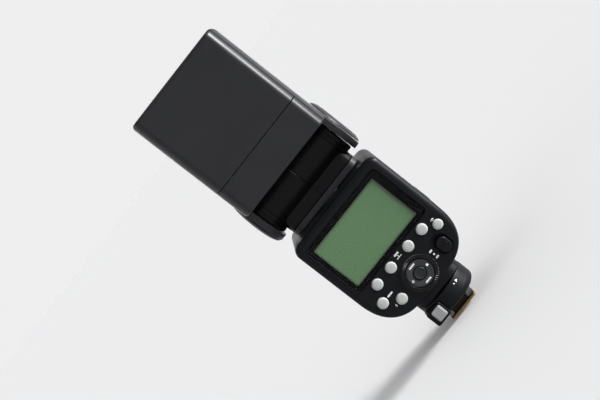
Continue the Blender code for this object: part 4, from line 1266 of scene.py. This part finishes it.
def make_pad():
    low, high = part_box("four_way_pad")
    proud, deep = BODY_REAR - low.y, BODY_REAR - high.y
    inner, outer = SET_RADIUS + PANEL_GAP, PAD_RADIUS
    profile = [
        (inner, deep), (inner, proud - 0.0006), (inner + 0.0002, proud - 0.00035),
        (inner + 0.0008, proud - 0.00025), (inner + 0.0022, proud - 0.00008), (outer - 0.0008, proud),
        (outer - 0.0004, proud - 0.00005), (outer - 0.0001, proud - 0.0002), (outer, proud - 0.0005),
        (outer, deep + 0.0008), (outer + 0.0012, deep + 0.0008), (outer + 0.0012, deep),
    ]
    pad = turned("cursor_pad", profile, (DIAL.x, BODY_REAR, DIAL.z), REAR, 96, ring=True)
    dress(pad, "pad_grey", "pad", "four_way_pad", slot="black_plastic")
    reach = (inner + outer) / 2 + 0.0001
    x, z = DIAL.x, DIAL.z
    lock = 0.00065
    marks = sign_blocks(x, z + reach, 5) + sign_blocks(x, z - reach, 5)
    marks += [sign_bar(x - reach, z, 0.0016), sign_bar(x - reach, z, 0.00032, 0.0016)]
    marks += [soft_rectangle(x + reach - lock, x + reach + lock, z - lock, z + 0.0002, 0.0001, 2)]
    marks += [sign_wave(x + reach, z + 0.0002, 0.00042, 0.00026, 1.5)]
    return inked("pad_marks", marks, (0, BODY_REAR - proud + 0.00014, 0), REAR, "pad", 0.00018)


def make_set_button():
    low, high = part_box("set_button")
    proud, deep = BODY_REAR - low.y, BODY_REAR - high.y
    radius, flange = SET_RADIUS, SET_RADIUS + 0.0012
    profile = [
        (flange, deep), (flange, deep + 0.0006), (radius, deep + 0.0006), (radius, proud - 0.0005),
        (radius - 0.0001, proud - 0.0002), (radius - 0.0003, proud), (radius - 0.0005, proud),
        (radius - 0.0008, proud - 0.0002), (radius * 0.5, proud - 0.00032), (radius * 0.2, proud - 0.00036),
    ]
    button = turned("centre_button", profile, (DIAL.x, BODY_REAR, DIAL.z), REAR, 64)
    return dress(button, "charcoal_plastic", "set_button", "set_button", slot="black_plastic")


finish("dial_black", (0.003, 0.003, 0.0035), 0.26, depth=0.000006, spread=0.03, Specular_IOR_Level=0.30)
finish("pad_grey", (0.021, 0.022, 0.024), 0.42, Specular_IOR_Level=0.25)
make_dial()
make_pad()
make_set_button()
print("dial", round(2000 * DIAL_RADIUS, 1), "mm across")

# %% [markdown]
# The power switch is a thumb slide in an oval well. It carries one ridge across it for grip, and a plate
# under the panel keeps it in its track. A dark liner closes the well behind it.

# %% Power switch
def make_switch():
    low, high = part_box("power_switch")
    wide, tall = 0.0067, 0.0095
    base = SWITCH.z - SWITCH_TALL / 2 + 0.0002
    centre = base + tall / 2
    knob_outline = soft_rectangle(SWITCH.x - wide / 2, SWITCH.x + wide / 2, base, base + tall, 0.0032, 10)
    knob = slab("switch_slide", knob_outline, high.y - low.y, (0, high.y, 0), REAR, far=(0.0009, 0.0006))
    plate = soft_rectangle(low.x, high.x, base + 0.0010, base + 0.0068, 0.0020, 6)
    ridge = soft_rectangle(SWITCH.x - 0.0022, SWITCH.x + 0.0022, centre - 0.0006, centre + 0.0006, 0.0005, 4)
    weld(
        knob, slab("plate", plate, 0.0007, (0, high.y, 0), REAR),
        slab("ridge", ridge, 0.0010, (0, low.y + 0.0006, 0), REAR, far=0.00035),
    )
    return dress(knob, "black_plastic", "power_switch", "power_switch")


def make_switch_liner():
    """The floor of the switch's well, cut round the wireless key, which goes past it when it is pressed."""
    back, thick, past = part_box("power_switch")[1].y + 0.0004, 0.0006, 0.0009
    wide, tall = SWITCH_WIDE / 2 + past, SWITCH_TALL / 2 + past
    outline = soft_rectangle(SWITCH.x - wide, SWITCH.x + wide, SWITCH.z - tall, SWITCH.z + tall, 0.0030, 4)
    liner = slab("switch_well_floor", outline, thick, (0, back + thick, 0), REAR, far=0.0001)
    key, radius = key_shape("wireless_key")
    key_way = radius + KEY_FLANGE + PANEL_GAP
    carve(liner, turned("key_way", [(key_way, -0.01), (key_way, 0.01)], (key.x, back, key.z), REAR, 48))
    return dress(liner, "black_plastic", "root")


make_switch()
make_switch_liner()
print("switch well", round(1000 * SWITCH_WIDE, 1), "x", round(1000 * SWITCH_TALL, 1), "mm")

# %% [markdown]
# ## Signs on the panel
# Each sign lies where the real print is: over the middle of the soft keys, beside the menu and test keys,
# above the wireless key, and left of the switch at its three positions.

# %% Signs beside the keys
def make_signs():
    menu, test, wireless = middle("menu_key"), middle("test_key"), middle("wireless_key")
    over = middle("soft_key_2").z
    aside = 0.0124
    signs = sign_blocks(menu.x + 0.0060, menu.z, 5, pitch=0.00078)
    signs.append(sign_bolt(test.x - 0.0046, test.z, 0.0014))
    signs += [sign_wave(wireless.x, wireless.z + 0.0030, radius, 0.0003) for radius in (0.0006, 0.0013)]
    signs += sign_blocks(DIAL.x, over + 0.0023, 4)
    signs += [sign_bar(DIAL.x, over + 0.0001, 0.0036), sign_bar(DIAL.x, over + 0.0008, 0.0003, 0.0012)]
    signs += sign_blocks(aside, SWITCH.z + 0.0022, 3, pitch=0.0007)
    signs += [circle((aside, SWITCH.z - 0.0001), 0.0005, 20)]
    signs += sign_blocks(aside, SWITCH.z - 0.0024, 3, pitch=0.0007)
    return inked("panel_signs", signs, (0, BODY_REAR + 0.00004, 0), REAR, "root")


print("signs", len(make_signs().data.polygons), "faces")

# %% [markdown]
# ## The foot
# The foot slides into a camera's shoe and locks with a pin. Its base is a block that rises into the body's
# round belly. Below it is the lock housing, a turned dish, with a boss at the rear left for the release
# button. The button has upright grip ridges, and a small white index mark is printed beside it.

# %% Foot base and lock housing
FOOT_LOW, FOOT_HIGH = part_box("foot_base")
HOUSING_LOW, HOUSING_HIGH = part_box("lock_housing")
HOUSING_RADIUS = HOUSING_HIGH.x
CONTACT_NAMES = ["centre_contact", "data_contact_left", "data_contact_right", "data_contact_rear", "lock_pin"]
POCKET_LOW, POCKET_HIGH = (-0.0143, -0.0200, 0.0072), (-0.0072, -0.0050, 0.0147)


def make_foot_base():
    outline = soft_rectangle(FOOT_LOW.x, FOOT_HIGH.x, FOOT_LOW.y, FOOT_HIGH.y, 0.0090, 12)
    base = slab("foot_block", outline, 0.0120, (0, 0, FOOT_LOW.z), near=0.0006)
    carve(base, slab("body_shape", body_outline(-GAP, -GAP, -GAP, -GAP), 0.07, (0, 0.04, 0), REAR))
    return dress(base, "black_plastic", "root", "foot_base")


def contact_holes(low=-0.003, high=0.012):
    holes = []
    for name in CONTACT_NAMES:
        centre = middle(name)
        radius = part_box(name)[1].x - centre.x + GAP
        holes.append(turned(name + "_hole", [(radius, low), (radius, high)], (centre.x, centre.y, 0), UP, 24))
    return holes


def make_housing():
    low, high = HOUSING_LOW.z, HOUSING_HIGH.z
    radius, inner, floor = HOUSING_RADIUS, HOUSING_RADIUS - WALL, HOUSING_LOW.z + 0.0016
    profile = [
        (radius - 0.0034, low), (radius - 0.0022, low + 0.0003), (radius - 0.0012, low + 0.0009),
        (radius - 0.0005, low + 0.0018), (radius - 0.0001, low + 0.0030), (radius, low + 0.0042),
        (radius, high - 0.0006), (radius - 0.0002, high - 0.0002), (radius - 0.0006, high), (inner, high),
        (inner, floor),
    ]
    housing = turned("lock_dish", profile, (0, 0, 0), UP, 96)
    boss = soft_rectangle(HOUSING_LOW.x, -0.0062, 0.0059, 0.0154, 0.0012)
    weld(housing, slab("boss", boss, 0.0090, (0, -0.0080, 0), REAR, far=0.0006))
    carve(housing, block("pocket", POCKET_LOW, POCKET_HIGH), *contact_holes())
    return dress(housing, "black_plastic", "root", "lock_housing")


def make_lock_mark():
    """A dash and an arrowhead, bent round the dish: each point lies at the dish's own radius."""
    dash = soft_rectangle(0.0060, 0.0088, 0.0142, 0.0147, 0.0001, 1)
    arrow = [(0.0092, 0.01445), (0.0079, 0.0153), (0.0079, 0.0136)]
    build = bmesh.new()
    for outline in (dash, arrow):
        face = [(x, z, sqrt(HOUSING_RADIUS**2 - x * x)) for x, z in outline]
        rings = [[(x, z, out + by) for x, z, out in face] for by in (-0.0002, 0.00004)]
        add_stack(build, rings, placed(REAR, (0, 0, 0)))
    return dress(new_piece("lock_mark", build), "white_ink", "root", slot="white_plastic")


def make_release():
    low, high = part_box("release_button")
    outline = soft_rectangle(low.x, high.x, low.z, high.z, 0.0009, 5)
    button = slab("release_key", outline, high.y - low.y, (0, high.y, 0), REAR, far=0.0004)
    half, margin, pitch = 0.00025, 0.0007, 0.00105
    bars = []
    for i in range(5):
        x = low.x + 0.0012 + pitch * i
        bar = soft_rectangle(x - half, x + half, low.z + margin, high.z - margin, 0.0002, 2)
        bars.append(slab("bar", bar, 0.0008, (0, low.y + 0.0005, 0), REAR, far=0.0002))
    weld(button, *bars)
    return dress(button, "button_grey", "release_button", "release_button")


make_foot_base()
make_housing()
make_lock_mark()
make_release()
print("housing", round(2000 * HOUSING_RADIUS, 1), "mm across")

# %% [markdown]
# The shoe plate is a stamped sheet with a narrower neck above it. Its rails are rounded by the press, and the
# neck has a small fillet against the plate.

# %% Shoe plate and contacts
def make_shoe():
    low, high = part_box("shoe_plate")
    thick, neck_half, fillet = 0.0020, 0.0062, 0.0006
    rails = soft_rectangle(low.x, high.x, low.y, high.y, 0.0013, 5)
    plate = slab("shoe_rails", rails, thick, (0, 0, low.z), near=0.0004, far=0.0003)
    neck = soft_rectangle(-neck_half, neck_half, -0.0085, 0.0085, 0.0012, 5)
    rings = levels(
        neck, (0.0010, -fillet), (thick, -fillet), (thick + 0.0002, -0.0002), (thick + fillet, 0.0),
        (high.z, 0.0),
    )
    weld(plate, stack("neck", rings))
    carve(plate, *contact_holes())
    return dress(plate, "shoe_metal", "root", "shoe_plate")


def make_contact(name, paint):
    """A round-nosed pin."""
    low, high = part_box(name)
    centre, radius = (low + high) / 2, (high.x - low.x) / 2
    nose = radius * 0.7
    profile = [(radius * sin(a), low.z + nose * (1 - cos(a))) for a in (0.25, 0.55, 0.85, 1.2, pi / 2)]
    pin = turned(name + "_pin", profile + [(radius, high.z)], (centre.x, centre.y, 0), UP, 32)
    return dress(pin, paint, name, name)


make_shoe()
for contact_name in CONTACT_NAMES:
    make_contact(contact_name, "steel" if contact_name == "lock_pin" else "brass")

# %% [markdown]
# ## The mechanism
# What is left are the pieces inside: boards, capacitor, batteries, reflector, tube, zoom drive and sockets.
# The frame has them at their true shapes, so they keep those shapes and get finishes. The table names the
# finish of each piece that isn't plain steel.

# %% Finishes of the inner pieces
INNER = {
    "zoom_lead_screw": "brass", "zoom_carriage": "black_plastic", "battery_holder": "black_plastic",
    "flash_reflector": "mirror_metal", "flash_tube": "clear_plastic", "main_capacitor": "capacitor_sleeve",
    "control_board": "board_green", "main_board": "board_green",
}
INNER |= {f"battery_cell_{count}": "cell_wrap" for count in range(1, 5)}
shown = [name for name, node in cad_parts.items() if not node.hide_render]
for node_name in shown:
    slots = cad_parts[node_name].data.materials
    slots.clear()
    slots.append(FINISH[INNER.get(node_name, "steel")])
print("frame nodes kept", len(shown), "of", len(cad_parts))

# %% [markdown]
# ## Sizes of the frame and the skin
# The dressed flash has to stay inside the size of its frame, so both boxes are written out side by side.

# %% Sizes and the end
SKIN_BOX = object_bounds()
for title, box in (("frame", CAD_BOX), ("skin", SKIN_BOX)):
    print(title, [round(1000 * size, 1) for size in box[1] - box[0]], "mm")
